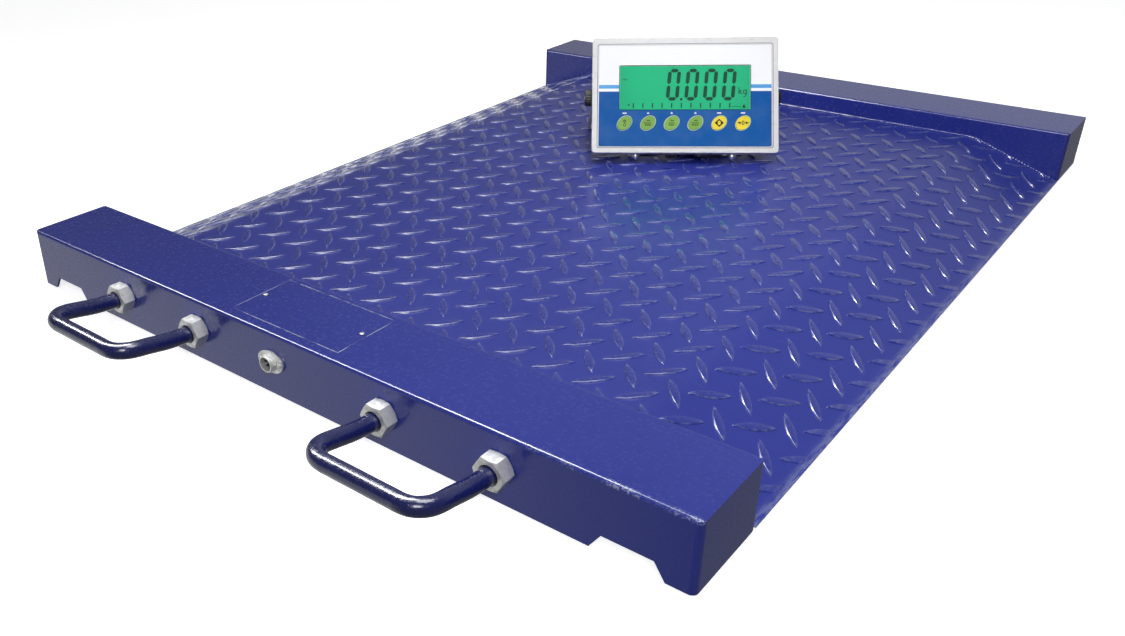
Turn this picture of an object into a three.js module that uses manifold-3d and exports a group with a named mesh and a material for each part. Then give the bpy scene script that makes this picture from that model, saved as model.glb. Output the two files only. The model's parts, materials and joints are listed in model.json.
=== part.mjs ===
// Low drive-through pallet scale: a treadplate deck with a ramp at each end, between two folded housings that
// hold the load cells, feet, wheels and wiring, and an indicator that leans on its bracket on the deck.
// Millimetres. X is the drive direction, -Y the handle side, +Z up, and the feet stand on z = 0.
import * as THREE from "three";
import { mergeVertices } from "three/addons/utils/BufferGeometryUtils.js";
import Module from "manifold-3d";

const wasm = await Module();
wasm.setup();

// Platform
const platformLength = 900;
const clearWidth = 1000; // between the two housings
const housingWidth = 105;
const housingTop = 75;
const sheet = 3; // folded housing sheet
const foldRadius = 4; // outside radius of the folds
const cornerRadius = 6; // outside radius of the upright corners
const floorGap = 4; // under the housings and the ramp lips
const deckTop = 50; // crests of the tread lugs, which carry the load
const lugHeight = 2;
const deckPlate = 4;
const flatLength = 656; // level stretch between the two ramps
const lipHeight = 1.5;
const gap = 0.3; // between touching pieces

// Under the deck
const ribWidth = 40;
const ribHeight = 28;
const ribWall = 3;
const ribPitch = 290;

// Load cells and feet
const footEnd = 60; // from the platform's end to the foot's middle
const footInset = 60; // from the outer face to the foot's middle
const cellLength = 130;
const cellWidth = 30;
const cellHeight = 30;
const cellSpacer = 4;
const footRadius = 24;
const footPad = 9; // thickness
const studRadius = 6;
const studSpare = 4; // the stud ends this far below the cell's top
const notchBottom = 69;
const notchTop = 47.5;
const notchHeight = 16;

// Handles
const handleX = 200;
const handleSpan = 131;
const handleReach = 100; // wall to the middle of the grip
const handleBar = 9; // radius
const handleBend = 22;
const handleHeight = 42;
const handleRise = 12; // the grip stands this much above the nuts
const handleTail = 22; // inside the wall
const handleClearance = 0.6; // round the bar
const nutFlats = 30;
const nutThickness = 16;

// Access cover and socket
const coverLength = 155;
const coverX = -14.5;
const coverEdge = 14; // from the outer wall to the cover
const coverBack = 8.5; // from the cover to the inner wall
const coverThickness = 2;
const coverScrewInset = 7;
const coverScrewHole = 2.4; // radius
const tabHalf = 14;
const boxLow = 26; // junction box
const boxHeadroom = 15;
const boxWall = 2;
const boxLength = 110;
const boxWidth = 62;
const socketX = -19;
const socketZ = 43;
const socketFlangeLength = 36;
const socketFlangeHeight = 24;
const socketRadius = 9;
const socketDepth = 9;

// Transport wheels
const wheelX = 235;
const wheelWidth = 24;
const wheelInset = 10; // axle line inside the outer face
const wheelLift = 4.5; // above the floor
const wheelHeadroom = 7.5; // under the housing's top sheet
const wheelSide = 2; // to the cheek plates
const axleRadius = 5;

// Indicator, leaning back on its domes and its bracket
const standX = -2.7; // the pivot's place over the deck
const standY = 196.6;
const headYaw = 35.5; // degrees about Z
const headTilt = 32.5; // degrees back from upright
const pivotDepth = 30; // behind the face
const pivotUp = 89; // above the lower edge of the face
const faceWidth = 262;
const faceHeight = 169;
const faceCorner = 5;
const bezelDepth = 10;
const bezelFront = 3;
const bezelWall = 2.5;
const caseMargin = 8; // the case is this much narrower than the face, each side
const caseLow = 6; // above the lower edge of the face
const caseHigh = 5; // below its upper edge
const caseDepth = 60;
const caseWall = 2.5;
const chinDepth = 27; // flat part of the underside
const chinRise = 28; // from the underside to the back
const overlaySide = 9.55; // margins from the edges of the face
const overlayLow = 9.2;
const overlayHigh = 11.4;
const overlayThickness = 0.7;
const windowWidth = 184.1;
const windowHeight = 64.3;
const windowUp = 95.2;
const keyPitch = 33.3;
const keyX = -1.4;
const keyUp = 43.1;
const keyLong = 11.6; // half lengths of the slanted oval
const keyShort = 8.45;
const keyProud = 0.9;
const keyFlange = 0.9;
const keyTravel = 0.6;
const boardThickness = 1.6;
const boardDepth = 15; // the main board, behind the face
const boardLow = 66;
const boardHigh = 21; // below the upper edge of the face
const boardHalf = 90;
const batteryLength = 100;
const batteryLow = 36;
const undersideDepth = 18; // glands and domes, behind the face
const glandX = [-17.8, 23.2];
const glandOutlet = 15; // side outlet of the lead's gland
const glandDrop = 4.2; // from the underside to the outlet's axis
const domeX = [-67, 69.9];
const knobRadius = 12;
const knobThickness = 14;
const knobStud = 3; // radius
const studReach = 9; // of the knobs into the case
const studBore = 3.4; // radius
const bracketSheet = 2.5;
const armWidth = 22;
const baseFront = 88; // behind the pivot
const baseBack = 118;
const baseHole = 4.5; // radius
const baseHolePitch = 80;

// Free lead of the load cells
const cordRadius = 2.5;
const coilX = 32.5;
const coilY = 42.3;
const coilInner = 22.2;
const coilOuter = 37.8;
const coilHeight = 20.6;
const plugRadius = 9;
const plugLength = 52;

const halfLength = platformLength / 2;
const innerFace = clearWidth / 2;
const outerFace = innerFace + housingWidth;
const footX = halfLength - footEnd;
const coverWidth = housingWidth - coverEdge - coverBack;
const wheelRadius = (housingTop - sheet - wheelHeadroom - wheelLift) / 2;
const wheelZ = wheelLift + wheelRadius;
const frontEnd = outerFace + handleReach + handleBar;
const backEnd = outerFace - wheelInset + wheelRadius;
const middleShift = (frontEnd - backEnd) / 2; // puts the origin under the middle of the whole object
const caseHalf = faceWidth / 2 - caseMargin;

const radians = THREE.MathUtils.degToRad;

// Solids -------------------------------------------------------------------------------------------------

function solid(geometry) {
  const g = geometry.index ? geometry.toNonIndexed() : geometry.clone();
  g.deleteAttribute("normal");
  g.deleteAttribute("uv");
  const m = mergeVertices(g, 1e-4);
  return new wasm.Manifold(new wasm.Mesh({
    numProp: 3,
    vertProperties: m.attributes.position.array,
    triVerts: new Uint32Array(m.index.array),
  }));
}

function geometryOf(body) {
  const mesh = body.getMesh();
  const indexed = new THREE.BufferGeometry();
  indexed.setAttribute("position", new THREE.BufferAttribute(mesh.vertProperties, 3));
  indexed.setIndex(new THREE.BufferAttribute(mesh.triVerts, 1));
  const g = indexed.toNonIndexed();
  g.computeVertexNormals();
  return g;
}

const joined = (first, ...rest) => rest.reduce((body, next) => body.add(next), first);
const cut = (first, ...rest) => rest.reduce((body, next) => body.subtract(next), first);

// A box from its low and high coordinates.
function box(x0, x1, y0, y1, z0, z1) {
  const g = new THREE.BoxGeometry(x1 - x0, y1 - y0, z1 - z0);
  return solid(g.translate((x0 + x1) / 2, (y0 + y1) / 2, (z0 + z1) / 2));
}

// A round rod from one place along an axis, "x", "y" or "z".
function rod(axis, radius, from, to, x, y, z, segments = 20) {
  const g = new THREE.CylinderGeometry(radius, radius, to - from, segments);
  if (axis === "x") g.rotateZ(Math.PI / 2).translate((from + to) / 2, y, z);
  if (axis === "y") g.translate(x, (from + to) / 2, z);
  if (axis === "z") g.rotateX(Math.PI / 2).translate(x, y, (from + to) / 2);
  return solid(g);
}

// A profile of [radius, height] pairs, outside going up and inside coming down, turned about Z.
function turned(profile, segments = 24) {
  const points = profile.map(([r, h]) => new THREE.Vector2(r, h));
  return new THREE.LatheGeometry(points, segments).rotateX(Math.PI / 2);
}

function outline(points) {
  return new THREE.Shape(points.map(([a, b]) => new THREE.Vector2(a, b)));
}

// A rectangle with round corners about the point (cx, cy).
function roundRect(width, height, radius, cx = 0, cy = 0) {
  const shape = new THREE.Shape();
  const w = width / 2 - radius;
  const h = height / 2 - radius;
  shape.absarc(cx + w, cy + h, radius, 0, Math.PI / 2);
  shape.absarc(cx - w, cy + h, radius, Math.PI / 2, Math.PI);
  shape.absarc(cx - w, cy - h, radius, Math.PI, 1.5 * Math.PI);
  shape.absarc(cx + w, cy - h, radius, 1.5 * Math.PI, 2 * Math.PI);
  return shape;
}

const extruded = (shape, depth, curveSegments) =>
  new THREE.ExtrudeGeometry(shape, { depth, bevelEnabled: false, curveSegments });

// A shape drawn in X and Z, carried along Y from y0 to y1.
const alongY = (shape, y0, y1, curves = 4) =>
  extruded(shape, y1 - y0, curves).rotateX(Math.PI / 2).translate(0, y1, 0);

// A shape drawn in Y and Z, carried along X from x0 to x1.
const alongX = (shape, x0, x1, curves = 4) =>
  extruded(shape, x1 - x0, curves).rotateX(Math.PI / 2).rotateZ(Math.PI / 2).translate(x0, 0, 0);

// A shape drawn in X and Y, carried along Z from z0 to z1.
const alongZ = (shape, z0, z1, curves = 4) => extruded(shape, z1 - z0, curves).translate(0, 0, z0);

// A round bar along a curve.
function bar(curve, radius, steps, sides) {
  const section = new THREE.Shape().absarc(0, 0, radius, 0, 2 * Math.PI);
  const round = new THREE.Shape(section.getPoints(sides).slice(0, sides));
  return new THREE.ExtrudeGeometry(round, { steps, extrudePath: curve, bevelEnabled: false });
}

// A hexagonal prism with its points up and down, about Y.
function hexBar(flats, y0, y1, x, z) {
  const g = new THREE.CylinderGeometry(flats / Math.sqrt(3), flats / Math.sqrt(3), y1 - y0, 6);
  return solid(g.translate(x, (y0 + y1) / 2, z));
}

// Finishes and scene graph -------------------------------------------------------------------------------

const finishes = {
  bluePaint: { color: 0x28348f, roughness: 0.32, metalness: 0.1 },
  greyPaint: { color: 0x4a4a55, roughness: 0.5, metalness: 0.1 },
  zinc: { color: 0xc9ccc8, roughness: 0.3, metalness: 0.9 },
  steel: { color: 0x9a9da0, roughness: 0.35, metalness: 0.9 },
  aluminium: { color: 0xb9bcbf, roughness: 0.4, metalness: 0.8 },
  blackPlastic: { color: 0x17171a, roughness: 0.5, metalness: 0 },
  whitePlastic: { color: 0xf2f2f4, roughness: 0.35, metalness: 0 },
  overlayBlue: { color: 0x0b55a6, roughness: 0.35, metalness: 0 },
  displayGreen: { color: 0x19c67a, roughness: 0.4, metalness: 0 },
  boardGreen: { color: 0x1e6b3a, roughness: 0.5, metalness: 0 },
  keyGreen: { color: 0x8cc63f, roughness: 0.45, metalness: 0 },
  keyYellow: { color: 0xf2e21c, roughness: 0.45, metalness: 0 },
  clear: { color: 0xdfeee8, roughness: 0.1, metalness: 0, transparent: true, opacity: 0.3 },
  rubber: { color: 0x202022, roughness: 0.8, metalness: 0 },
};

function add(group, name, shape, finish) {
  const geometry = shape.isBufferGeometry ? shape : geometryOf(shape);
  const mesh = new THREE.Mesh(geometry, new THREE.MeshStandardMaterial(finishes[finish]));
  mesh.name = name;
  group.add(mesh);
  return mesh;
}

const scale = new THREE.Group();
const platform = new THREE.Group();
platform.position.y = middleShift;
scale.add(platform);

// Deck ---------------------------------------------------------------------------------------------------

// The bent treadplate in section: crests on top, the plate's underside below, ground flat at both lips.
function deckSection() {
  const flat = flatLength / 2;
  const lip = floorGap + lipHeight;
  const slope = Math.atan2(deckTop - lip, halfLength - flat);
  const thick = deckPlate + lugHeight;
  const underFlat = flat - thick * Math.tan(slope / 2);
  const underLip = halfLength - (thick / Math.cos(slope) - lipHeight) / Math.tan(slope);
  const right = [
    [flat, deckTop],
    [halfLength, lip],
    [halfLength, floorGap],
    [underLip, floorGap],
    [underFlat, deckTop - thick],
  ];
  const left = right.map(([x, z]) => [-x, z]).reverse();
  return outline([...right, ...left]);
}

add(platform, "deck_plate", alongY(deckSection(), -innerFace + gap, innerFace - gap), "bluePaint");

const ribTop = deckTop - lugHeight - deckPlate - gap;
["left", "centre", "right"].forEach((side, i) => {
  const x = (i - 1) * ribPitch;
  const half = innerFace - gap;
  const tube = cut(
    box(x - ribWidth / 2, x + ribWidth / 2, -half, half, ribTop - ribHeight, ribTop),
    box(x - ribWidth / 2 + ribWall, x + ribWidth / 2 - ribWall, -half - 1, half + 1,
      ribTop - ribHeight + ribWall, ribTop - ribWall),
  );
  add(platform, "deck_rib_" + side, tube, "greyPaint");
});

// Housings -----------------------------------------------------------------------------------------------

// One folded housing with closed ends and an open underside. side is -1 for the handles, 1 for the wheels.
function housing(side) {
  const middle = side * (innerFace + housingWidth / 2);
  const low = middle - housingWidth / 2;
  const high = middle + housingWidth / 2;
  const plan = roundRect(platformLength, housingWidth, cornerRadius, 0, middle);
  const section = roundRect(housingWidth, 2 * (housingTop - floorGap), foldRadius, middle, floorGap);
  const upright = solid(alongZ(plan, floorGap, housingTop, 3));
  const folded = solid(alongX(section, -halfLength - 1, halfLength + 1, 3));
  const halfHollow = halfLength - sheet;
  const hollow = box(-halfHollow, halfHollow, low + sheet, high - sheet, 0, housingTop - sheet);
  const outside = side * outerFace;
  const notches = [-1, 1].map((end) => {
    const centre = end * footX;
    const shape = outline([
      [centre - notchBottom / 2, 0],
      [centre + notchBottom / 2, 0],
      [centre + notchBottom / 2, floorGap],
      [centre + notchTop / 2, floorGap + notchHeight],
      [centre - notchTop / 2, floorGap + notchHeight],
      [centre - notchBottom / 2, floorGap],
    ]);
    return solid(alongY(shape, outside - sheet - 1, outside + sheet + 1));
  });
  return cut(upright.intersect(folded), hollow, ...notches);
}

// The opening under the access cover, with a tab at each end for its screws.
const coverLow = -outerFace + coverEdge;
const coverMid = coverLow + coverWidth / 2;
const tabTop = housingTop - coverThickness - gap;
const coverEnds = [-1, 1].map((end) => ({
  edge: coverX + end * (coverLength / 2 + gap),
  screwX: coverX + end * (coverLength / 2 - coverScrewInset),
}));

function withCoverOpening(body) {
  const reach = coverLength / 2 + gap;
  const opening = box(coverX - reach, coverX + reach, coverLow - gap, coverLow + coverWidth + gap,
    housingTop - sheet - 1, housingTop + 1);
  const tabs = coverEnds.map(({ edge, screwX }) => {
    const lap = Math.sign(screwX - edge) * tabHalf;
    const [x0, x1] = [edge - lap / 2, edge + lap].sort((a, b) => a - b);
    return box(x0, x1, coverMid - tabHalf, coverMid + tabHalf, tabTop - sheet, tabTop);
  });
  const holes = coverEnds.map(({ screwX }) =>
    rod("z", coverScrewHole, tabTop - sheet - 1, housingTop, screwX, coverMid, 0, 12));
  return cut(joined(cut(body, opening), ...tabs), ...holes);
}

const handleLegs = [-1, 1].flatMap((side) => [-1, 1].map((leg) => side * handleX + leg * handleSpan / 2));

function handleHousing() {
  const wallIn = -outerFace - 1;
  const wallOut = -outerFace + sheet + 1;
  const legHoles = handleLegs.map((x) =>
    rod("y", handleBar + handleClearance, wallIn, wallOut, x, 0, handleHeight));
  const socketHole = rod("y", socketRadius + 2 * gap, wallIn, wallOut, socketX, 0, socketZ);
  return cut(withCoverOpening(housing(-1)), ...legHoles, socketHole);
}

const axleY = outerFace - wheelInset;
const cheek = wheelWidth / 2 + wheelSide; // inside of the wheel's cheek plates

function wheelHousing() {
  let body = housing(1);
  for (const side of [-1, 1]) {
    const x = side * wheelX;
    const slot = box(x - cheek, x + cheek, axleY - 5, outerFace + 1, 0, housingTop - sheet - 1);
    const cheeks = [-1, 1].map((end) => {
      const a = x + end * cheek;
      const b = a + end * sheet;
      return box(Math.min(a, b), Math.max(a, b), axleY - 20, outerFace - 1, 14, housingTop - 1);
    });
    body = cut(joined(cut(body, slot), ...cheeks),
      rod("x", axleRadius + gap, x - cheek - 5, x + cheek + 5, 0, axleY, wheelZ));
  }
  return body;
}

add(platform, "housing_handle_side", handleHousing(), "bluePaint");
add(platform, "housing_wheel_side", wheelHousing(), "bluePaint");

// Access cover -------------------------------------------------------------------------------------------

const cover = cut(
  box(coverX - coverLength / 2, coverX + coverLength / 2, coverLow, coverLow + coverWidth,
    housingTop - coverThickness, housingTop),
  ...coverEnds.map(({ screwX }) =>
    rod("z", coverScrewHole, housingTop - sheet - 1, housingTop + 1, screwX, coverMid, 0, 12)),
);
add(platform, "access_cover", cover, "bluePaint");

// A pan-head screw with its head on z = 0 and its shank below.
const panScrew = (head, shank, length) =>
  turned([[0, -length], [shank, -length], [shank, 0], [head, 0], [head, 1], [head * 0.6, 1.9], [0, 2.1]], 14);

coverEnds.forEach(({ screwX }, i) => {
  const screw = add(platform, "cover_screw_" + ["left", "right"][i], panScrew(3.6, 2, 9), "zinc");
  screw.position.set(screwX, coverMid, housingTop + gap);
});

// Wiring under the cover ---------------------------------------------------------------------------------

const boxTop = housingTop - boxHeadroom;
const boxBack = -innerFace - sheet - gap;
const boxFront = boxBack - boxWidth;
const boxHalf = boxLength / 2;
const junctionBox = cut(
  box(coverX - boxHalf, coverX + boxHalf, boxFront, boxBack, boxLow, boxTop),
  box(coverX - boxHalf + boxWall, coverX + boxHalf - boxWall, boxFront + boxWall, boxBack - boxWall,
    boxLow + boxWall, boxTop + 1),
);
add(platform, "junction_box", junctionBox, "blackPlastic");
const boardEdge = 7; // from the outside of the box to the board
const boardSeat = boxLow + boxWall + gap;
add(platform, "summing_board",
  box(coverX - boxHalf + boardEdge, coverX + boxHalf - boardEdge, boxFront + boardEdge, boxBack - boardEdge,
    boardSeat, boardSeat + boardThickness), "boardGreen");

// Socket for the indicator's lead ------------------------------------------------------------------------

const faceY = -outerFace - gap; // outside of the wall, where the flange seats
const socketPlan = () => {
  const shape = new THREE.Shape();
  shape.absellipse(socketX, socketZ, socketFlangeLength / 2, socketFlangeHeight / 2, 0, 2 * Math.PI);
  return shape;
};
const screwOffset = socketFlangeLength / 2 - 4.2;
const socketShell = cut(
  joined(
    solid(alongY(socketPlan(), faceY - 2.5, faceY, 10)),
    rod("y", socketRadius + 1, faceY - 6, faceY - 1, socketX, 0, socketZ, 24),
    rod("y", socketRadius, faceY - socketDepth, faceY + 14, socketX, 0, socketZ, 24),
  ),
  rod("y", socketRadius - 1.5, faceY - socketDepth - 1, faceY + 5, socketX, 0, socketZ, 20),
  ...[-1, 1].map((s) => rod("y", 1.5, faceY - 4, faceY + 1, socketX + s * screwOffset, 0, socketZ, 10)),
);
add(platform, "socket_shell", socketShell, "zinc");

const pinCircle = 4;
const socketInsert = joined(
  rod("y", socketRadius - 1.8, faceY - 1, faceY + 4.7, socketX, 0, socketZ, 20),
  ...[0, 1, 2, 3, 4].map((i) => {
    const angle = radians(90 + 72 * i);
    return rod("y", 0.9, faceY - 6, faceY, socketX + pinCircle * Math.cos(angle), 0,
      socketZ + pinCircle * Math.sin(angle), 8);
  }),
);
add(platform, "socket_insert", socketInsert, "blackPlastic");

[-1, 1].forEach((s, i) => {
  const screw = add(platform, "socket_screw_" + ["left", "right"][i], panScrew(2.6, 1.2, 2.4), "zinc");
  screw.rotation.x = Math.PI / 2;
  screw.position.set(socketX + s * screwOffset, faceY - 2.5 - gap, socketZ);
});

// Handles ------------------------------------------------------------------------------------------------

// The handle's centre line: a leg that climbs past its nut, a quarter bend, the grip, and back again.
function handleCurve(x) {
  const half = handleSpan / 2;
  const grip = -outerFace - handleReach;
  const legEnd = grip + handleBend;
  const climb = (y) => THREE.MathUtils.smoothstep(-outerFace - y, nutThickness, handleReach);
  const leg = [-outerFace + handleTail, -outerFace, -outerFace - nutThickness].map((y) => [half, y]);
  const slope = [0.4, 0.8].map((t) => [half, THREE.MathUtils.lerp(-outerFace - nutThickness, legEnd, t)]);
  const bend = [0, 1, 2, 3, 4].map((i) => {
    const angle = (i / 4) * Math.PI / 2;
    return [half - handleBend * (1 - Math.cos(angle)), legEnd - handleBend * Math.sin(angle)];
  });
  const right = [...leg, ...slope, ...bend, [half - handleBend - handleBar, grip]];
  const left = right.map(([a, y]) => [-a, y]).reverse();
  const points = [...right, ...left].map(([a, y]) =>
    new THREE.Vector3(x + a, y, handleHeight + handleRise * climb(y)));
  return new THREE.CatmullRomCurve3(points, false, "centripetal");
}

["left", "right"].forEach((side, i) => {
  const x = (2 * i - 1) * handleX;
  add(platform, "handle_" + side, bar(handleCurve(x), handleBar, 40, 10), "bluePaint");
});

["left_outer", "left_inner", "right_inner", "right_outer"].forEach((place, i) => {
  const x = handleLegs[i];
  const nut = cut(
    hexBar(nutFlats, faceY - nutThickness, faceY, x, handleHeight),
    rod("y", handleBar + handleClearance, faceY - nutThickness - 1, faceY + 1, x, 0, handleHeight),
  );
  add(platform, "handle_nut_" + place, nut, "zinc");
});

// Load cells and levelling feet --------------------------------------------------------------------------

const cellTop = housingTop - sheet - gap;
const cellLow = cellTop - cellSpacer - cellHeight;

// A bending-beam cell: fixed to the housing by its spacer at the inner end, carrying the foot at the outer.
function loadCell(endX, endY) {
  const outward = Math.sign(endX);
  const outer = endX + outward * 16;
  const inner = outer - outward * cellLength;
  const [x0, x1] = [inner, outer].sort((a, b) => a - b);
  const middle = (x0 + x1) / 2;
  const centreZ = cellLow + cellHeight / 2;
  const y0 = endY - cellWidth / 2;
  const y1 = endY + cellWidth / 2;
  const spacer = [inner, inner + outward * 45].sort((a, b) => a - b);
  const windows = [-9, 9].map((dx) => rod("y", 9, y0 - 1, y1 + 1, middle + dx, 0, centreZ, 16));
  return cut(
    joined(
      box(x0, x1, y0, y1, cellLow, cellTop - cellSpacer),
      box(spacer[0], spacer[1], y0, y1, cellTop - cellSpacer - 1, cellTop),
    ),
    ...windows,
    rod("z", studRadius + gap, cellLow - 1, cellTop, endX, endY, 0, 16),
  );
}

const studTop = cellTop - cellSpacer - studSpare;
const footNut = { radius: studRadius + 3, height: 6 };
const footProfile = [
  [0, 0], [footRadius, 0], [footRadius, footPad / 2], [footRadius - 7, footPad], [footNut.radius, footPad],
  [footNut.radius, footPad + footNut.height], [studRadius, footPad + footNut.height], [studRadius, studTop],
  [0, studTop],
];

for (const [end, sx] of [["left", -1], ["right", 1]]) {
  for (const [side, sy] of [["front", -1], ["rear", 1]]) {
    const x = sx * footX;
    const y = sy * (outerFace - footInset);
    add(platform, "load_cell_" + side + "_" + end, loadCell(x, y), "aluminium");
    add(platform, "foot_" + side + "_" + end, turned(footProfile, 20), "steel").position.set(x, y, 0);
  }
}

// Transport wheels ---------------------------------------------------------------------------------------

const wheelProfile = (() => {
  const half = wheelWidth / 2;
  const bore = axleRadius + gap;
  return [
    [bore, -half], [14, -half], [16, -half + 3], [24, -half + 3], [27, -half], [wheelRadius - 2, -half],
    [wheelRadius, -half + 3], [wheelRadius, half - 3], [wheelRadius - 2, half], [27, half], [24, half - 3],
    [16, half - 3], [14, half], [bore, half], [bore, -half],
  ];
})();

["left", "right"].forEach((side, i) => {
  const x = (2 * i - 1) * wheelX;
  const wheel = add(platform, "wheel_" + side, turned(wheelProfile, 20), "rubber");
  wheel.rotation.y = Math.PI / 2;
  wheel.position.set(x, axleY, wheelZ);
  const end = cheek + sheet + gap;
  const head = Math.min(wheelInset - sheet - 2 * gap, axleRadius + 3); // clears the inside of the outer wall
  const axle = turned([
    [0, -end - 3], [head - 1, -end - 3], [head, -end - 1.5], [head, -end], [axleRadius, -end],
    [axleRadius, end], [head, end], [head, end + 1.5], [head - 1, end + 3], [0, end + 3],
  ], 16);
  const pin = add(platform, "wheel_axle_" + side, axle, "zinc");
  pin.rotation.y = Math.PI / 2;
  pin.position.set(x, axleY, wheelZ);
});

// Indicator ----------------------------------------------------------------------------------------------
// In the stand's frame X is across the face, Y away from the reader and Z up from the deck. The indicator
// stands on the two domes under its case and leans back on its bracket, which swings on the clamp knobs.

const stand = new THREE.Group();
stand.position.set(standX, standY, deckTop);
stand.rotation.z = radians(headYaw);
platform.add(stand);

const tilt = radians(headTilt);
const undersideUp = caseLow - gap;
const domeProfile = [[0, 0], [7.5, 0], [7.5, 3], [6.6, 3.2], [6.2, 7], [4.6, 10.6], [2.2, 12.5], [0, 13]];
const domeReach = Math.max(...domeProfile.map(([r, h]) => r * Math.sin(tilt) + h * Math.cos(tilt)));
const domeSeatY = undersideDepth - pivotDepth;
const domeSeatZ = undersideUp - pivotUp;
const pivotHeight = gap + domeReach + domeSeatY * Math.sin(tilt) - domeSeatZ * Math.cos(tilt);

const armInside = caseHalf + gap;
const armOutside = armInside + bracketSheet;

// Two arms that taper from the knobs down to a base plate behind the case.
function bracketBody() {
  const baseTop = gap + bracketSheet;
  const lean = Math.atan2(-pivotHeight, (baseFront + baseBack) / 2);
  const arm = new THREE.Shape();
  arm.moveTo(baseFront, gap);
  arm.lineTo(baseBack, gap);
  arm.lineTo(baseBack, 2 * baseTop);
  arm.absarc(0, pivotHeight, armWidth / 2, lean + Math.PI / 2, lean + 1.5 * Math.PI);
  arm.lineTo(baseFront, 2 * baseTop);
  const arms = [-armOutside, armInside].map((x) => solid(alongX(arm, x, x + bracketSheet, 10)));
  const base = box(-armOutside, armOutside, baseFront, baseBack, gap, baseTop);
  const middle = (baseFront + baseBack) / 2;
  const holes = [-1, 0, 1].map((i) => rod("z", baseHole, -1, baseTop + 1, i * baseHolePitch, middle, 0, 16));
  const pivotHole = rod("x", studBore, -armOutside - 1, armOutside + 1, 0, 0, pivotHeight, 16);
  return cut(joined(base, ...arms), ...holes, pivotHole);
}
add(stand, "bracket", bracketBody(), "greyPaint");

// Indicator head -----------------------------------------------------------------------------------------
// In the head's frame the pivot is the origin, X across, Y into the case and Z up the face. The pieces are
// drawn from the middle of the face's lower edge and moved there by the face group.

const head = new THREE.Group();
head.position.z = pivotHeight;
head.rotation.x = -tilt;
stand.add(head);
const face = new THREE.Group();
face.position.set(0, -pivotDepth, -pivotUp);
head.add(face);

// The slanted oval of a key, grown by a margin.
function keyShape(x, margin) {
  const shape = new THREE.Shape();
  shape.absellipse(x, keyUp, keyLong + margin, keyShort + margin, 0, 2 * Math.PI, false, radians(45));
  return shape;
}
const keyCentres = [-2.5, -1.5, -0.5, 0.5, 1.5, 2.5].map((i) => keyX + i * keyPitch);
const keySides = 6; // curve segments in a quarter of an oval

const overlayWidth = faceWidth - 2 * overlaySide;
const overlayHeight = faceHeight - overlayLow - overlayHigh;
const overlayUp = overlayLow + overlayHeight / 2;

// A solid with a round-cornered outline on the face, from one depth to another.
const panel = (width, height, up, y0, y1, radius = 2) =>
  solid(alongY(roundRect(width, height, radius, 0, up), y0, y1, 3));

function bezelBody() {
  const middle = faceHeight / 2;
  const sill = 2.5; // the bezel's opening is this much inside the window's edge
  const shell = panel(faceWidth, faceHeight, middle, 0, bezelDepth, faceCorner);
  const hollow = panel(faceWidth - 2 * bezelWall, faceHeight - 2 * bezelWall, middle,
    bezelFront, bezelDepth + 1);
  const pocket = panel(overlayWidth + 2 * gap, overlayHeight + 2 * gap, overlayUp,
    -1, overlayThickness + gap);
  const opening = panel(windowWidth - 2 * sill, windowHeight - 2 * sill, windowUp, -1, bezelFront + 1);
  const keyHoles = keyCentres.map((x) => solid(alongY(keyShape(x, gap), -1, bezelFront + 1, keySides)));
  return cut(shell, hollow, pocket, opening, ...keyHoles);
}
add(face, "bezel_front", bezelBody(), "whitePlastic");

const overlay = cut(
  panel(overlayWidth, overlayHeight, overlayUp, 0, overlayThickness),
  panel(windowWidth + 2 * gap, windowHeight + 2 * gap, windowUp, -1, 2),
  ...keyCentres.map((x) => solid(alongY(keyShape(x, gap), -1, 2, keySides))),
);
add(face, "overlay_panel", overlay, "overlayBlue");
add(face, "lcd_window", panel(windowWidth, windowHeight, windowUp, 0, overlayThickness), "clear");

const behindFront = bezelFront + gap;
const moduleMargin = 4;
const moduleDepth = 8;
const moduleHalf = windowWidth / 2 + moduleMargin;
add(face, "lcd_module",
  box(-moduleHalf, moduleHalf, behindFront, behindFront + moduleDepth,
    windowUp - windowHeight / 2 - moduleMargin, windowUp + windowHeight / 2 + moduleMargin), "displayGreen");

// A key: its cap through the bezel and a wider flange that keeps it in.
const flangeMargin = 1.4;
keyCentres.forEach((x, i) => {
  const cap = solid(alongY(keyShape(x, 0), -keyProud, behindFront + keyFlange / 2, keySides));
  const flange = solid(alongY(keyShape(x, flangeMargin), behindFront, behindFront + keyFlange, keySides));
  add(face, "key_" + (i + 1), joined(cap, flange), i < 4 ? "keyGreen" : "keyYellow");
});
const keypadFront = behindFront + keyFlange + keyTravel + gap;
const keypadHalf = 2.5 * keyPitch + keyLong + 9;
add(face, "keypad_board",
  box(-keypadHalf, keypadHalf, keypadFront, keypadFront + boardThickness,
    keyUp - keyLong - 3, keyUp + keyLong + 2), "boardGreen");

// The case in section, Y into it and Z up, shrunk by a wall where it is hollow.
function caseSection(wall) {
  const front = wall ? 0 : bezelDepth + gap;
  const back = caseDepth - wall;
  const low = caseLow + wall;
  const high = faceHeight - caseHigh - wall;
  const shrink = wall * 0.4; // keeps the sloped walls near the same thickness
  return outline([
    [front, low],
    [chinDepth - shrink, low],
    [back, caseLow + chinRise + shrink],
    [back, high - 20],
    [back - 22 + shrink, high],
    [front, high],
  ]);
}

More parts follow.
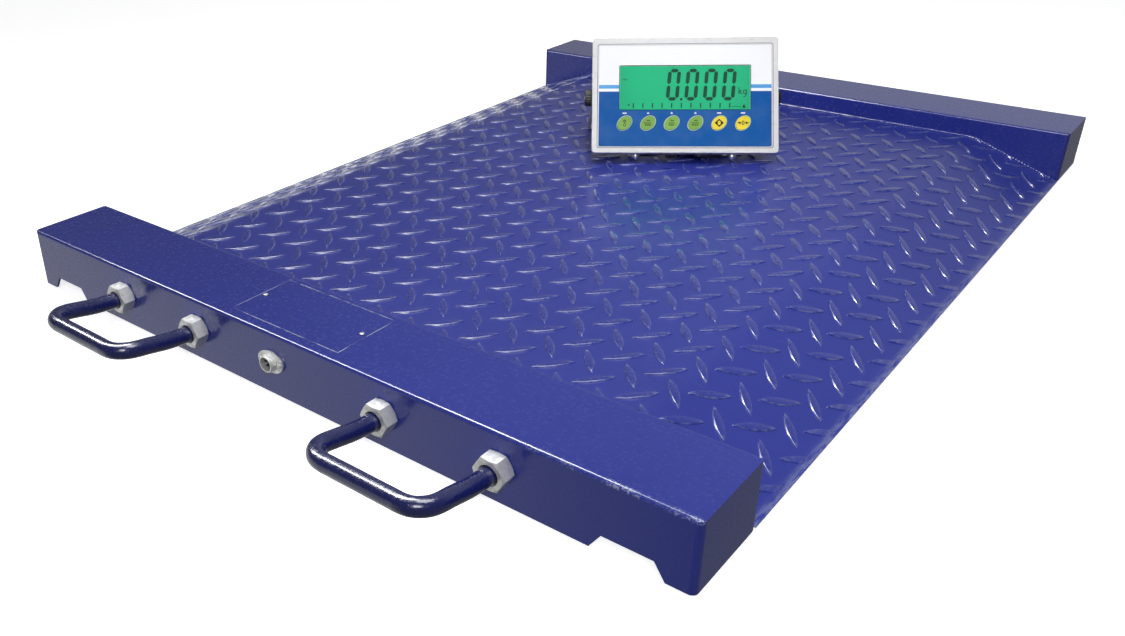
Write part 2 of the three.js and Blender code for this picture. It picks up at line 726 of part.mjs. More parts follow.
const boardTop = faceHeight - boardHigh;
function caseBody() {
  const posts = [-1, 1].flatMap((side) => [boardLow + 10, boardTop - 10].map((z) =>
    rod("y", 3.5, boardDepth + boardThickness + gap, caseDepth - 1, side * (boardHalf - 10), 0, z, 8)));
  const studBores = [-1, 1].map((side) => {
    const ends = [side * (caseHalf - studReach - 1), side * (caseHalf + 1)].sort((a, b) => a - b);
    return rod("x", studBore, ends[0], ends[1], 0, pivotDepth, pivotUp, 16);
  });
  const shell = cut(
    solid(alongX(caseSection(0), -caseHalf, caseHalf)),
    solid(alongX(caseSection(caseWall), -caseHalf + caseWall, caseHalf - caseWall)),
  );
  return cut(joined(shell, ...posts), ...studBores);
}
add(face, "case_rear", caseBody(), "whitePlastic");
add(face, "main_board",
  box(-boardHalf, boardHalf, boardDepth, boardDepth + boardThickness, boardLow, boardTop), "boardGreen");

const batteryX = -caseHalf + caseWall + 2 * studReach;
const batteryBack = caseDepth - caseWall - 10;
add(face, "battery",
  box(batteryX, batteryX + batteryLength, boardDepth + 2, batteryBack, batteryLow, boardLow - 4),
  "blackPlastic");

// Clamp knobs: a ribbed head outside the arm and a stud through it into the case.
const knobSeat = armOutside + gap;
const knobEnd = knobSeat + knobThickness;
const knobProfile = [
  [0, caseHalf - studReach], [knobStud, caseHalf - studReach], [knobStud, knobSeat], [knobRadius, knobSeat],
  [knobRadius, knobEnd - 2], [knobRadius - 2, knobEnd], [0, knobEnd],
];
["left", "right"].forEach((side, i) => {
  const knob = add(head, "knob_" + side, turned(knobProfile, 18), "blackPlastic");
  knob.rotation.y = (2 * i - 1) * Math.PI / 2;
});

// Underside of the case: two bright domes to stand on, a blanked gland and the lead's gland, which turns the
// lead sideways. All are drawn with Z pointing away from the case.
function addUnderCase(name, shape, x, finish) {
  const mesh = add(face, name, shape, finish);
  mesh.rotation.x = Math.PI;
  mesh.position.set(x, undersideDepth, undersideUp);
}
domeX.forEach((x, i) =>
  addUnderCase("bottom_dome_" + ["left", "right"][i], turned(domeProfile, 16), x, "zinc"));

const glandProfile = [[0, 0], [7.6, 0], [7.6, 3.5], [6.4, 3.9], [6.4, 7], [5.2, 8.5], [0, 8.5]];
const glandBody = solid(turned(glandProfile, 16));
const elbow = joined(
  glandBody,
  rod("x", glandDrop - 0.2, 0, glandOutlet - 5, 0, 0, glandDrop, 12),
  rod("x", cordRadius + 0.8, 0, glandOutlet, 0, 0, glandDrop, 12),
);
addUnderCase("gland_blank", glandBody, glandX[0], "blackPlastic");
addUnderCase("gland_lead", elbow, glandX[1], "blackPlastic");

// Lead ---------------------------------------------------------------------------------------------------
// Points in the stand's frame: out of the gland to the right, down to the deck, back under the case and into
// the coil, then from the top of the coil to the plug.

const leadRoute = [
  [38.5, -57.1, 8.5], [41.5, -57.1, 8.4], [44.8, -56.8, 7.8], [48.4, -55.6, 6.7], [51.8, -53.1, 5.5],
  [54.3, -49.6, 4.4], [56.0, -45.3, 3.6], [57.4, -40.3, 3.0], [58.8, -33.7, 2.8], [60.4, -25.7, 2.8],
  [62.0, -16.7, 2.8], [63.6, -7.7, 2.8], [65.2, 1.3, 2.8], [66.5, 9.3, 2.8], [67.3, 16.3, 2.8],
  [67.5, 21.3, 2.8],
];
const tailRoute = [
  [10.9, 77.3, 17.4], [6.0, 77.4, 16.4], [0.0, 77.5, 14.2], [-6.0, 77.5, 11.6], [-11.0, 77.5, 9.8],
  [-15.0, 77.5, 9.3],
];
const curveOf = (points) =>
  new THREE.CatmullRomCurve3(points.map((p) => new THREE.Vector3(...p)), false, "centripetal");

add(stand, "lead_run", bar(curveOf(leadRoute), cordRadius, 24, 8), "rubber");
add(stand, "lead_tail", bar(curveOf(tailRoute), cordRadius, 6, 8), "rubber");
const ring = [
  [coilInner, gap], [coilOuter, gap], [coilOuter, coilHeight], [coilInner, coilHeight], [coilInner, gap],
];
add(stand, "lead_coil", turned(ring, 24), "rubber").position.set(coilX, coilY, 0);

const plugProfile = [
  [0, 0], [4, 0], [5.5, 12], [7.5, 14], [7.5, 30], [plugRadius, 31], [plugRadius, 43], [7.4, 43.5],
  [7.4, plugLength], [0, plugLength],
];
const [plugX, plugY] = tailRoute.at(-1);
const plug = add(stand, "lead_plug", turned(plugProfile, 16), "zinc");
plug.rotation.y = -Math.PI / 2;
plug.position.set(plugX - gap, plugY, plugRadius + gap);

export default scale;
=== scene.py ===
import json
import math

import bmesh
import bpy
import numpy as np
from mathutils import Euler, Matrix, Vector

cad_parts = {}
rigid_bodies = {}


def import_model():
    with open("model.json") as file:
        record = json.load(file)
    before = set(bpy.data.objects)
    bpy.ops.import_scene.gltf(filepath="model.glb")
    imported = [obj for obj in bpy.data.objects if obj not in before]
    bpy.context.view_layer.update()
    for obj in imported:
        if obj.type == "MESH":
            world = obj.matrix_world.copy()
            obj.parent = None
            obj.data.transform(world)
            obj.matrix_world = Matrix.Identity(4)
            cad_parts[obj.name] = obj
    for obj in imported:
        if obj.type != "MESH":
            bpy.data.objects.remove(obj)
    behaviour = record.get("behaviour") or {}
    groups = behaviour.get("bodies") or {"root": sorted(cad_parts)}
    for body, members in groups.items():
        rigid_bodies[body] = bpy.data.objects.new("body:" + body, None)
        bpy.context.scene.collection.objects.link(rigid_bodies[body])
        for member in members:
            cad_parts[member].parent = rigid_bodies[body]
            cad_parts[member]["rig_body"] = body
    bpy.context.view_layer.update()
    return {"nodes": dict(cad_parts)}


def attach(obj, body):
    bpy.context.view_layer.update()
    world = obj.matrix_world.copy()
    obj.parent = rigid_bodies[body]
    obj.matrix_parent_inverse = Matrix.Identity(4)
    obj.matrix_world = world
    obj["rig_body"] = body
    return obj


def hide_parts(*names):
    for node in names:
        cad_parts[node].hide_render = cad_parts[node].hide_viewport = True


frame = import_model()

nodes = frame["nodes"]
scene = bpy.context.scene

# Metres. X is the drive direction, -Y the handle side, Z up, and the feet stand on z = 0.

# ---- camera
cameraSetup = {
    "place": (0.6928, -1.1388, 0.5662),
    "turn": 42.0,   # degrees to the left of straight ahead
    "down": 27.91,
    "roll": -2.04,
    "lens": 33.25,
    "shift": 0.134,
}


def makeCamera(setup):
    turn, down, roll = (math.radians(setup[key]) for key in ("turn", "down", "roll"))
    ahead = Vector((-math.sin(turn) * math.cos(down), math.cos(turn) * math.cos(down), -math.sin(down)))
    level = Vector((math.cos(turn), math.sin(turn), 0))
    upright = level.cross(ahead)
    right = level * math.cos(roll) + upright * math.sin(roll)
    above = upright * math.cos(roll) - level * math.sin(roll)
    camera = bpy.data.objects.new("camera", bpy.data.cameras.new("camera"))
    scene.collection.objects.link(camera)
    matrix = Matrix((right, above, -ahead)).transposed().to_4x4()
    matrix.translation = Vector(setup["place"])
    camera.matrix_world = matrix
    camera.data.lens = setup["lens"]
    camera.data.sensor_width = 36
    camera.data.shift_x = setup["shift"]
    scene.camera = camera


makeCamera(cameraSetup)
scene.view_settings.view_transform = "Standard"
print("camera placed")


def at(x, y, z):
    return Matrix.Translation((x, y, z))


def turned(degrees, axis):
    return Matrix.Rotation(math.radians(degrees), 4, axis)


# ---- the indicator's own frames
# Stand: X across the face, Y away from the reader, Z up from the deck. Face: X across from the middle,
# Y into the case, Z up the face from its lower edge.
headPose = {
    "place": (-0.0027, 0.2411, 0.050),
    "yaw": 35.5,
    "tilt": 32.5,
    "pivotHeight": 0.075831,
    "pivotDepth": 0.030,
    "pivotUp": 0.089,
}
standFrame = Matrix.Translation(headPose["place"]) @ turned(headPose["yaw"], "Z")
headFrame = standFrame @ at(0, 0, headPose["pivotHeight"]) @ turned(-headPose["tilt"], "X")
faceFrame = headFrame @ at(0, -headPose["pivotDepth"], -headPose["pivotUp"])


def placed(points, matrix):
    # every point of an array turned and moved by a 4 x 4 matrix
    m = np.array(matrix)
    return np.asarray(points, float) @ m[:3, :3].T + m[:3, 3]


# ---- mesh helpers
def gridQuads(rows, columns, closeRows=False, closeColumns=False):
    # the four-sided faces between neighbours on a grid of rows x columns points, wrapped where asked
    r = np.arange(rows if closeRows else rows - 1)
    c = np.arange(columns if closeColumns else columns - 1)
    r, c = np.meshgrid(r, c, indexing="ij")
    r2, c2 = (r + 1) % rows, (c + 1) % columns
    corners = [r * columns + c, r * columns + c2, r2 * columns + c2, r2 * columns + c]
    return np.stack([k.ravel() for k in corners], 1)


def gathered(parts):
    # several (points, quads) pairs as one
    starts = np.cumsum([0] + [len(points) for points, _ in parts[:-1]])
    return (np.concatenate([points for points, _ in parts]),
            np.concatenate([quads + start for (_, quads), start in zip(parts, starts)]))


def newPiece(name, parts, material, body, replaces=(), sharp=35, outward=True):
    points, quads = gathered(parts if isinstance(parts, list) else [parts])
    mesh = bpy.data.meshes.new(name)
    mesh.from_pydata(points.tolist(), [], quads.tolist())
    work = bmesh.new()
    work.from_mesh(mesh)
    bmesh.ops.remove_doubles(work, verts=work.verts, dist=1e-6)
    if outward:
        bmesh.ops.recalc_face_normals(work, faces=work.faces)
    work.to_mesh(mesh)
    work.free()
    return settled(name, mesh, material, body, replaces, sharp)


def settled(name, mesh, material, body, replaces=(), sharp=35):
    mesh.polygons.foreach_set("use_smooth", np.ones(len(mesh.polygons), bool))
    mesh.set_sharp_from_angle(angle=math.radians(sharp))
    mesh.materials.clear()
    mesh.materials.append(material)
    piece = bpy.data.objects.new(name, mesh)
    scene.collection.objects.link(piece)
    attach(piece, body)
    if replaces:
        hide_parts(*replaces)
    return piece


def refined(node, material, edge=0.0006, steps=2, flat=0.6):
    # a CAD node's copy with its triangles merged into flat faces and its edges rounded
    mesh = nodes[node].data.copy()
    mesh.name = node + "_rounded"
    work = bmesh.new()
    work.from_mesh(mesh)
    bmesh.ops.remove_doubles(work, verts=work.verts, dist=2e-6)
    bmesh.ops.dissolve_limit(work, angle_limit=math.radians(flat), verts=work.verts, edges=work.edges)
    work.to_mesh(mesh)
    work.free()
    piece = settled(node + "_rounded", mesh, material, nodes[node]["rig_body"], [node])
    if edge:
        bevel = piece.modifiers.new("edges", "BEVEL")
        bevel.width = edge
        bevel.segments = steps
        bevel.limit_method = "ANGLE"
        bevel.angle_limit = math.radians(40)
    weighted = piece.modifiers.new("even shading", "WEIGHTED_NORMAL")
    weighted.keep_sharp = not edge
    return piece


def lathe(profile, turns=32, matrix=None, ripple=None):
    # radius and height pairs turned round Z; ripple(angle, radius, height) gives a change in radius
    profile = np.asarray(profile, float)
    angle = np.linspace(0, 2 * np.pi, turns, endpoint=False)[None, :]
    radius = profile[:, :1] * np.ones_like(angle)
    height = profile[:, 1:] * np.ones_like(angle)
    if ripple is not None:
        radius = radius + ripple(angle, radius, height) * (radius > 1e-5)
    points = np.stack([radius * np.cos(angle), radius * np.sin(angle), height], -1).reshape(-1, 3)
    quads = gridQuads(len(profile), turns, closeColumns=True)
    return (points if matrix is None else placed(points, matrix)), quads


def tube(path, radius, sides=16, up=(0, 0, 1), closeEnds=True):
    # circles of a radius for each point of a path, square to it, their first side turned towards up
    path = np.asarray(path, float)
    radius = np.broadcast_to(np.asarray(radius, float), len(path)).copy()
    if closeEnds:
        path = np.concatenate([path[:1], path, path[-1:]])
        radius = np.concatenate([[0], radius, [0]])
    along = np.gradient(path[1:-1] if closeEnds else path, axis=0)
    if closeEnds:
        along = np.concatenate([along[:1], along, along[-1:]])
    along /= np.linalg.norm(along, axis=1, keepdims=True)
    across = np.cross(along, np.asarray(up, float))
    across /= np.linalg.norm(across, axis=1, keepdims=True)
    upward = np.cross(across, along)
    angle = np.linspace(0, 2 * np.pi, sides, endpoint=False)
    ring = across[:, None] * np.cos(angle)[None, :, None] + upward[:, None] * np.sin(angle)[None, :, None]
    points = path[:, None] + ring * radius[:, None, None]
    return points.reshape(-1, 3), gridQuads(len(path), sides, closeColumns=True)


def smoothPath(points, count):
    # a centripetal Catmull-Rom curve through the points, sampled evenly by its parameter
    points = np.asarray(points, float)
    ends = [2 * points[0] - points[1], *points, 2 * points[-1] - points[-2]]
    knots = np.array(ends)
    gaps = np.sqrt(np.linalg.norm(np.diff(knots, axis=0), axis=1))
    t = np.concatenate([[0], np.cumsum(gaps)])
    when = np.linspace(t[1], t[-2] - 1e-9, count)
    i = np.clip(np.searchsorted(t, when, side="right") - 1, 1, len(points) - 1)
    p0, p1, p2, p3 = (knots[i + k] for k in (-1, 0, 1, 2))
    t0, t1, t2, t3 = (t[i + k][:, None] for k in (-1, 0, 1, 2))
    s = when[:, None]
    a1 = (t1 - s) / (t1 - t0) * p0 + (s - t0) / (t1 - t0) * p1
    a2 = (t2 - s) / (t2 - t1) * p1 + (s - t1) / (t2 - t1) * p2
    a3 = (t3 - s) / (t3 - t2) * p2 + (s - t2) / (t3 - t2) * p3
    b1 = (t2 - s) / (t2 - t0) * a1 + (s - t0) / (t2 - t0) * a2
    b2 = (t3 - s) / (t3 - t1) * a2 + (s - t1) / (t3 - t1) * a3
    return (t2 - s) / (t2 - t1) * b1 + (s - t1) / (t2 - t1) * b2


def plate(outline, front, back, matrix):
    # a thin flat piece on the face: an outline round its own middle, closed from a front to a back depth
    outline = np.asarray(outline, float)
    middle = np.broadcast_to(outline.mean(0), outline.shape)
    rings = [(middle, front), (outline, front), (outline, back), (middle, back)]
    points = np.stack([np.stack([flat[:, 0], np.full(len(flat), depth), flat[:, 1]], 1)
                       for flat, depth in rings])
    return placed(points.reshape(-1, 3), matrix), gridQuads(4, len(outline), closeColumns=True)


def ringPlate(outside, inside, front, back, matrix):
    # the same with a hole: both outlines have as many points
    rings = [(outside, front), (outside, back), (inside, back), (inside, front)]
    points = np.stack([np.stack([flat[:, 0], np.full(len(flat), depth), flat[:, 1]], 1)
                       for flat, depth in rings])
    quads = gridQuads(4, len(outside), closeRows=True, closeColumns=True)
    return placed(points.reshape(-1, 3), matrix), quads


def ellipse(x, z, long, short, lean=0.0, count=48, start=0.0, end=360.0):
    angle = np.radians(np.linspace(start, end, count, endpoint=end - start < 360))
    a, b = long * np.cos(angle), short * np.sin(angle)
    c, s = math.cos(math.radians(lean)), math.sin(math.radians(lean))
    return np.stack([x + a * c - b * s, z + a * s + b * c], 1)


# ---- material helpers
class Graph:
    # one material's nodes; every pattern reads the piece's Object coordinates
    def __init__(self, name, color=(0.5, 0.5, 0.5), roughness=0.5, **sockets):
        self.material = bpy.data.materials.new(name)
        self.material.use_nodes = True
        self.tree = self.material.node_tree
        self.shader = self.tree.nodes["Principled BSDF"]
        self.shader.inputs["Base Color"].default_value = (*color, 1)
        self.shader.inputs["Roughness"].default_value = roughness
        for socket, value in sockets.items():
            self.shader.inputs[socket.replace("_", " ")].default_value = value
        self.place = self.tree.nodes.new("ShaderNodeTexCoord").outputs["Object"]

    def put(self, socket, value):
        if isinstance(value, bpy.types.NodeSocket):
            self.tree.links.new(value, socket)
        else:
            socket.default_value = value

    def node(self, kind, inputs, **settings):
        made = self.tree.nodes.new("ShaderNode" + kind)
        for key, value in settings.items():
            setattr(made, key, value)
        for key, value in inputs.items():
            self.put(made.inputs[key], value)
        return made

    def seen(self, matrix=None, scale=(1, 1, 1)):
        # Object coordinates as read in another frame
        back = (matrix or Matrix.Identity(4)).inverted()
        inputs = {"Vector": self.place, "Location": back.to_translation(),
                  "Rotation": back.to_euler(), "Scale": (1, 1, 1)}
        base = self.node("Mapping", inputs).outputs[0]
        if scale == (1, 1, 1):
            return base
        return self.node("VectorMath", {0: base, 1: scale}, operation="MULTIPLY").outputs[0]

    def axis(self, name, vector=None):
        return self.node("SeparateXYZ", {0: vector or self.place}).outputs[name]

    def noise(self, scale, detail=3.0, rough=0.55, vector=None):
        inputs = {"Vector": vector or self.place, "Scale": scale, "Detail": detail, "Roughness": rough}
        return self.node("TexNoise", inputs).outputs["Fac"]

    def span(self, value, low, high, bottom=0.0, top=1.0, smooth=True):
        inputs = {"Value": value, "From Min": low, "From Max": high, "To Min": bottom, "To Max": top}
        kind = "SMOOTHSTEP" if smooth else "LINEAR"
        return self.node("MapRange", inputs, interpolation_type=kind).outputs["Result"]

    def math(self, operation, a, b=0.0):
        return self.node("Math", {0: a, 1: b}, operation=operation).outputs[0]

    def both(self, *masks):
        result = masks[0]
        for mask in masks[1:]:
            result = self.math("MULTIPLY", result, mask)
        return result

    def mix(self, amount, a, b):
        a, b = ((*c, 1) if isinstance(c, tuple) and len(c) == 3 else c for c in (a, b))
        return self.node("Mix", {0: amount, 6: a, 7: b}, data_type="RGBA").outputs[2]

    def bump(self, height, distance, strength=1.0):
        inputs = {"Height": height, "Distance": distance, "Strength": strength}
        self.put(self.shader.inputs["Normal"], self.node("Bump", inputs).outputs[0])

    def paint(self, color=None, roughness=None):
        if color is not None:
            self.put(self.shader.inputs["Base Color"], color)
        if roughness is not None:
            self.put(self.shader.inputs["Roughness"], roughness)


enamelLook = {
    "color": (0.022, 0.036, 0.315),
    "deepColor": (0.018, 0.030, 0.285),
    # pale: scuffed paint, and painted highlights on some pieces
    "scuffAndSheenColor": (0.42, 0.47, 0.62),
    "roughness": 0.24,
}


def enamel(name, wearAndSheen=None, peel=1.0, coat=0.5, shade=1.0, grain=420.0, satin=0.0):
    # glossy paint: two depths of blue, fine dust, an orange-peel skin, and pale marks where the mask says:
    # scuffs, and on some pieces a painted highlight; shade below one darkens the blue as painted shade
    g = Graph(name, enamelLook["color"], Coat_Weight=coat, Coat_Roughness=0.10)
    cloud = g.noise(5.0, 4.0)
    deep, plain = (tuple(shade * c for c in enamelLook[key]) for key in ("deepColor", "color"))
    color = g.mix(g.span(cloud, 0.25, 0.75), deep, plain)
    dust = g.span(g.noise(850.0, 3.0, 0.65), 0.48, 0.74, 0.0, 0.03)
    color = g.mix(dust, color, (0.30, 0.33, 0.52))
    base = enamelLook["roughness"] + satin
    rough = g.span(g.noise(260.0, 3.0), 0.3, 0.7, base - 0.04, base + 0.05)
    if wearAndSheen is not None:
        mask = wearAndSheen(g)
        color = g.mix(mask, color, enamelLook["scuffAndSheenColor"])
        rough = g.math("MAXIMUM", rough, g.math("MULTIPLY", mask, 0.6))
    g.paint(color, rough)
    g.bump(g.noise(grain, 2.5), 0.00012 * peel, 0.5)
    return g.material


def deckScuffsAndSheen(g):
    # the lips are painted pale in streaks along them, and the left one most: scuffed paint with a painted
    # reflection off the lip; faint scratches lie all over
    x = g.axis("X")
    left = g.span(x, -0.430, -0.446)
    right = g.math("MULTIPLY", g.span(x, 0.440, 0.4495), 0.35)
    streaks = g.noise(60.0, 5.0, 0.7, g.seen(scale=(9.0, 0.9, 1.0)))
    broken = g.span(streaks, 0.40, 0.56)
    scratches = g.span(g.noise(120.0, 3.0, 0.6, g.seen(scale=(0.5, 3.0, 1.0))), 0.70, 0.76, 0.0, 0.16)
    edge = g.both(g.math("MAXIMUM", left, right), broken)
    return g.math("MAXIMUM", edge, scratches)


def lugShoulderSheenAndWear(g):
    # as the deck, and the shoulder of each lug is painted paler in broken lines where the piece's rim
    # attribute says: a painted highlight along the shoulder, with some worn paint
    rim = g.node("Attribute", {}, attribute_name="rim").outputs["Fac"]
    broken = g.span(g.noise(160.0, 4.0, 0.65), 0.36, 0.62, 0.04, 0.42)
    return g.math("MAXIMUM", g.both(rim, broken), deckScuffsAndSheen(g))


def housingFoldWearAndHighlight(g):
    # the outer top fold is painted pale near the right end, a painted highlight with worn paint, and a few
    # chips lie along it
    place = g.seen()
    x, y, z = (g.axis(name, place) for name in "XYZ")
    fold = g.both(g.span(z, 0.070, 0.0735), g.span(y, -0.5545, -0.5575))
    end = g.span(x, 0.20, 0.42)
    broken = g.span(g.noise(420.0, 4.0, 0.65), 0.44, 0.62)
    cloud = g.span(g.noise(46.0, 3.0, 0.6), 0.42, 0.58, 0.15, 0.85)
    chips = g.span(g.noise(38.0, 3.0, 0.6), 0.68, 0.72)
    return g.both(fold, g.math("MAXIMUM", g.both(end, broken, cloud), chips))


# the cover's outline, and how wide a band along its edges is painted bright as a glint
coverEdge = {"middle": (-0.0145, -0.50525), "half": (0.0775, 0.04125), "glintWidth": 0.0011}


def coverEdgeGlint(g):
    # the cover's edges are painted bright in broken lines as a painted glint: how far a point is from its
    # rim, inside
    (x0, y0), (a, b) = coverEdge["middle"], coverEdge["half"]
    x = g.math("SUBTRACT", a, g.math("ABSOLUTE", g.math("SUBTRACT", g.axis("X"), x0)))
    y = g.math("SUBTRACT", b, g.math("ABSOLUTE", g.math("SUBTRACT", g.axis("Y"), y0)))
    rim = g.span(g.math("MINIMUM", x, y), coverEdge["glintWidth"], coverEdge["glintWidth"] * 0.5)
    return g.both(rim, g.span(g.noise(45.0, 4.0, 0.6), 0.42, 0.55, 0.12, 1.0))


def metal(name, color, roughness, bare=1.0, brush=None, tint=(0.45, 0.42, 0.36)):
    # plated or bare metal: cloudy roughness, faint stains, and brushing along one axis where given
    g = Graph(name, color, roughness, Metallic=bare)
    cloud = g.noise(180.0, 4.0, 0.6)
    base = g.mix(g.span(cloud, 0.35, 0.70), color, tuple(0.78 * c for c in color))
    stain = g.span(g.noise(70.0, 3.0), 0.60, 0.78, 0.0, 0.35)
    g.paint(g.mix(stain, base, tint), g.span(cloud, 0.3, 0.7, roughness - 0.08, roughness + 0.12))
    if brush:
        g.bump(g.noise(900.0, 2.0, 0.6, g.seen(scale=brush)), 0.00006, 0.6)
    else:
        g.bump(g.noise(650.0, 3.0), 0.00008, 0.4)
    return g.material


def plastic(name, color, roughness, grain=0.00003, spread=0.1, **sockets):
    # moulded plastic: a fine grain, a slight change of tone and uneven gloss
    g = Graph(name, color, roughness, **sockets)
    tone = g.noise(40.0, 3.0)
    g.paint(g.mix(g.span(tone, 0.3, 0.7), color, tuple((1 - spread) * c for c in color)),
            g.span(g.noise(90.0, 3.0), 0.3, 0.7, roughness - 0.05, roughness + 0.07))
    g.bump(g.noise(1600.0, 2.0), grain, 0.6)
    return g.material


def rubber(name, color, roughness):
    g = Graph(name, color, roughness)
    dusty = g.span(g.noise(55.0, 5.0), 0.42, 0.75, 0.0, 0.35)
    gloss = g.span(g.noise(300.0), 0.3, 0.7, roughness - 0.08, roughness + 0.1)
    g.paint(g.mix(dusty, color, (0.11, 0.105, 0.10)), gloss)
    g.bump(g.noise(1200.0, 3.0), 0.0001, 0.5)
    return g.material


def boardFace(name):
    # green board: solder mask with finer copper lines just under it
    g = Graph(name, (0.01, 0.12, 0.04), 0.35, Coat_Weight=0.3)
    lines = g.node("TexBrick", {"Vector": g.place, "Scale": 60.0, "Mortar Size": 0.06}).outputs["Fac"]
    specks = g.span(g.noise(700.0, 1.0), 0.60, 0.66)
    color = g.mix(lines, (0.010, 0.110, 0.040), (0.020, 0.200, 0.060))
    g.paint(g.mix(specks, color, (0.45, 0.36, 0.16)))
    g.bump(g.math("ADD", lines, specks), 0.00004)
    return g.material


blueEnamel = enamel("blue enamel")
# the masks of the next four paint pale marks that are partly light: a painted reflection on the deck lips,
# painted highlights on the lug shoulders and the housing fold, and painted glints on the cover's edges
deckEnamel = enamel("blue enamel, scuffed lips, painted lip reflection", deckScuffsAndSheen, 2.6, 0.10, satin=0.08)
lugEnamel = enamel("blue enamel, polished lugs, painted shoulder highlights", lugShoulderSheenAndWear, 0.6, 1.0)
housingEnamel = enamel("blue enamel, worn fold, painted fold highlight", housingFoldWearAndHighlight)
coverEnamel = enamel("blue enamel, painted edge glints", coverEdgeGlint)
# painted shade: the handles' blue is darkened to about a third so the round bars look shaded
handleEnamel = enamel("blue enamel, thick coat, darkened as painted shade", peel=7.0, coat=1.0, shade=0.35, grain=520.0)
greyPaint = plastic("grey powder coat", (0.30, 0.31, 0.33), 0.5, 0.00012)
zinc = metal("zinc plate", (0.92, 0.93, 0.90), 0.38, 0.55)
brightSteel = metal("bright steel", (0.93, 0.93, 0.92), 0.30)
castSteel = metal("plain steel", (0.52, 0.52, 0.53), 0.34)
dullSteel = metal("dull steel", (0.30, 0.30, 0.31), 0.50)
cellMetal = metal("brushed aluminium", (0.74, 0.75, 0.77), 0.30, brush=(0.05, 1.0, 1.0))
blackPlastic = plastic("black plastic", (0.012, 0.012, 0.013), 0.32, 0.00006)
whiteShell = plastic("white shell", (0.74, 0.74, 0.735), 0.30, 0.00002, 0.03, Coat_Weight=0.2)
tyreRubber = rubber("grey tyre rubber", (0.028, 0.028, 0.030), 0.55)
jacket = rubber("black cable jacket", (0.014, 0.014, 0.015), 0.42)
greenBoard = boardFace("circuit board")
gold = metal("gold plate", (0.85, 0.62, 0.25), 0.22)
print("materials made")

# ---- the indicator's lead, first of the pieces
leadShape = {
    "diameter": 0.005,
    "coilMiddle": (0.0325, 0.0423),
    "radii": (0.035, 0.030, 0.025),
    "layers": (0.0028, 0.0078, 0.0128, 0.0178),
    "perTurn": 30,
}
leadOut = [
    (0.0385, -0.0571, 0.0085), (0.0415, -0.0571, 0.0084), (0.0448, -0.0568, 0.0078),
    (0.0484, -0.0556, 0.0067), (0.0518, -0.0531, 0.0055), (0.0543, -0.0496, 0.0044),
    (0.0560, -0.0453, 0.0036), (0.0574, -0.0403, 0.0030), (0.0588, -0.0337, 0.0028),
    (0.0604, -0.0257, 0.0028), (0.0620, -0.0167, 0.0028), (0.0636, -0.0077, 0.0028),
    (0.0652, 0.0013, 0.0028), (0.0665, 0.0093, 0.0028), (0.0673, 0.0163, 0.0028),
]
leadBack = [
    (0.0109, 0.0773, 0.0174), (0.0060, 0.0774, 0.0164), (0.0000, 0.0775, 0.0142),
    (-0.0060, 0.0775, 0.0116), (-0.0110, 0.0775, 0.0098), (-0.0150, 0.0775, 0.0093),
]


def coilPath(shape):
    # turns beside each other, out and in, and a layer higher each time: the radius and the height are
    # functions of the angle that step smoothly over the last 40 degrees of a turn
    turns = len(shape["radii"]) * len(shape["layers"])
    inward = list(shape["radii"])
    radii = sum([inward if k % 2 == 0 else inward[::-1] for k in range(len(shape["layers"]))], [])
    heights = np.repeat(shape["layers"], len(inward))
    radii, heights = np.append(radii, inward[0]), np.append(heights, shape["layers"][-1])
    angle = np.linspace(0, turns + 0.25, int((turns + 0.25) * shape["perTurn"]))
    turn = np.clip(angle.astype(int), 0, turns - 1)
    part = angle - turn
    step = np.clip((part - 0.80) / 0.20, 0, 1)
    step = step * step * (3 - 2 * step)
    last = turn + 1
    radius = radii[turn] + (radii[last] - radii[turn]) * step
    height = heights[turn] + (heights[last] - heights[turn]) * step
    phase = 2 * np.pi * angle
    x, y = shape["coilMiddle"]
    return np.stack([x + radius * np.cos(phase), y + radius * np.sin(phase), height], 1)


leadPoints = placed(np.concatenate([leadOut, coilPath(leadShape), leadBack]), standFrame)

leadCurve = bpy.data.curves.new("lead_cable", "CURVE")
leadCurve.dimensions = "3D"
leadSpline = leadCurve.splines.new("POLY")
leadSpline.points.add(len(leadPoints) - 1)
leadSpline.points.foreach_set("co", np.column_stack([leadPoints, np.ones(len(leadPoints))]).ravel())
leadCurve.bevel_depth = leadShape["diameter"] / 2
leadCurve.bevel_resolution = 3
leadCurve.use_fill_caps = True
leadCurve.materials.append(jacket)
leadSpline.use_smooth = True
lead = bpy.data.objects.new("lead_cable", leadCurve)
scene.collection.objects.link(lead)
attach(lead, "head")
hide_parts("lead_run", "lead_coil", "lead_tail")

plugShape = {"tail": (-0.0153, 0.0775, 0.0093), "knurls": 30, "knurlDepth": 0.00035}
plugProfile = [
    (0, 0), (0.0032, 0), (0.0042, 0.0015), (0.0056, 0.011), (0.0074, 0.0135), (0.0075, 0.0285),
    (0.0070, 0.0300), (0.0084, 0.0306), (0.0087, 0.0315), (0.0087, 0.0420), (0.0084, 0.0430),
    (0.0073, 0.0434), (0.0073, 0.0518), (0.0064, 0.0519), (0.0063, 0.0440), (0, 0.0440),
]


def plugRipple(angle, radius, height):
    # a fine knurl on the coupling ring only
    band = (height > 0.0310) & (height < 0.0425) & (radius > 0.0080)
    deep = plugShape["knurlDepth"]
    return deep * np.cos(plugShape["knurls"] * angle) * band - deep * band


plugFrame = standFrame @ Matrix.Translation(plugShape["tail"]) @ turned(-90, "Y")
pinRing = [lathe([(0, 0.044), (0.0006, 0.044), (0.0006, 0.050), (0.0003, 0.0506), (0, 0.0506)], 8,
                 plugFrame @ Matrix.Rotation(k * 2 * math.pi / 5, 4, "Z") @ at(0.0035, 0, 0))
           for k in range(5)]
plug = newPiece("lead_plug_body", lathe(plugProfile, 120, plugFrame, plugRipple), zinc, "head",
                ["lead_plug"])
plugPins = newPiece("lead_plug_pins", pinRing, gold, "head")
print("lead made")

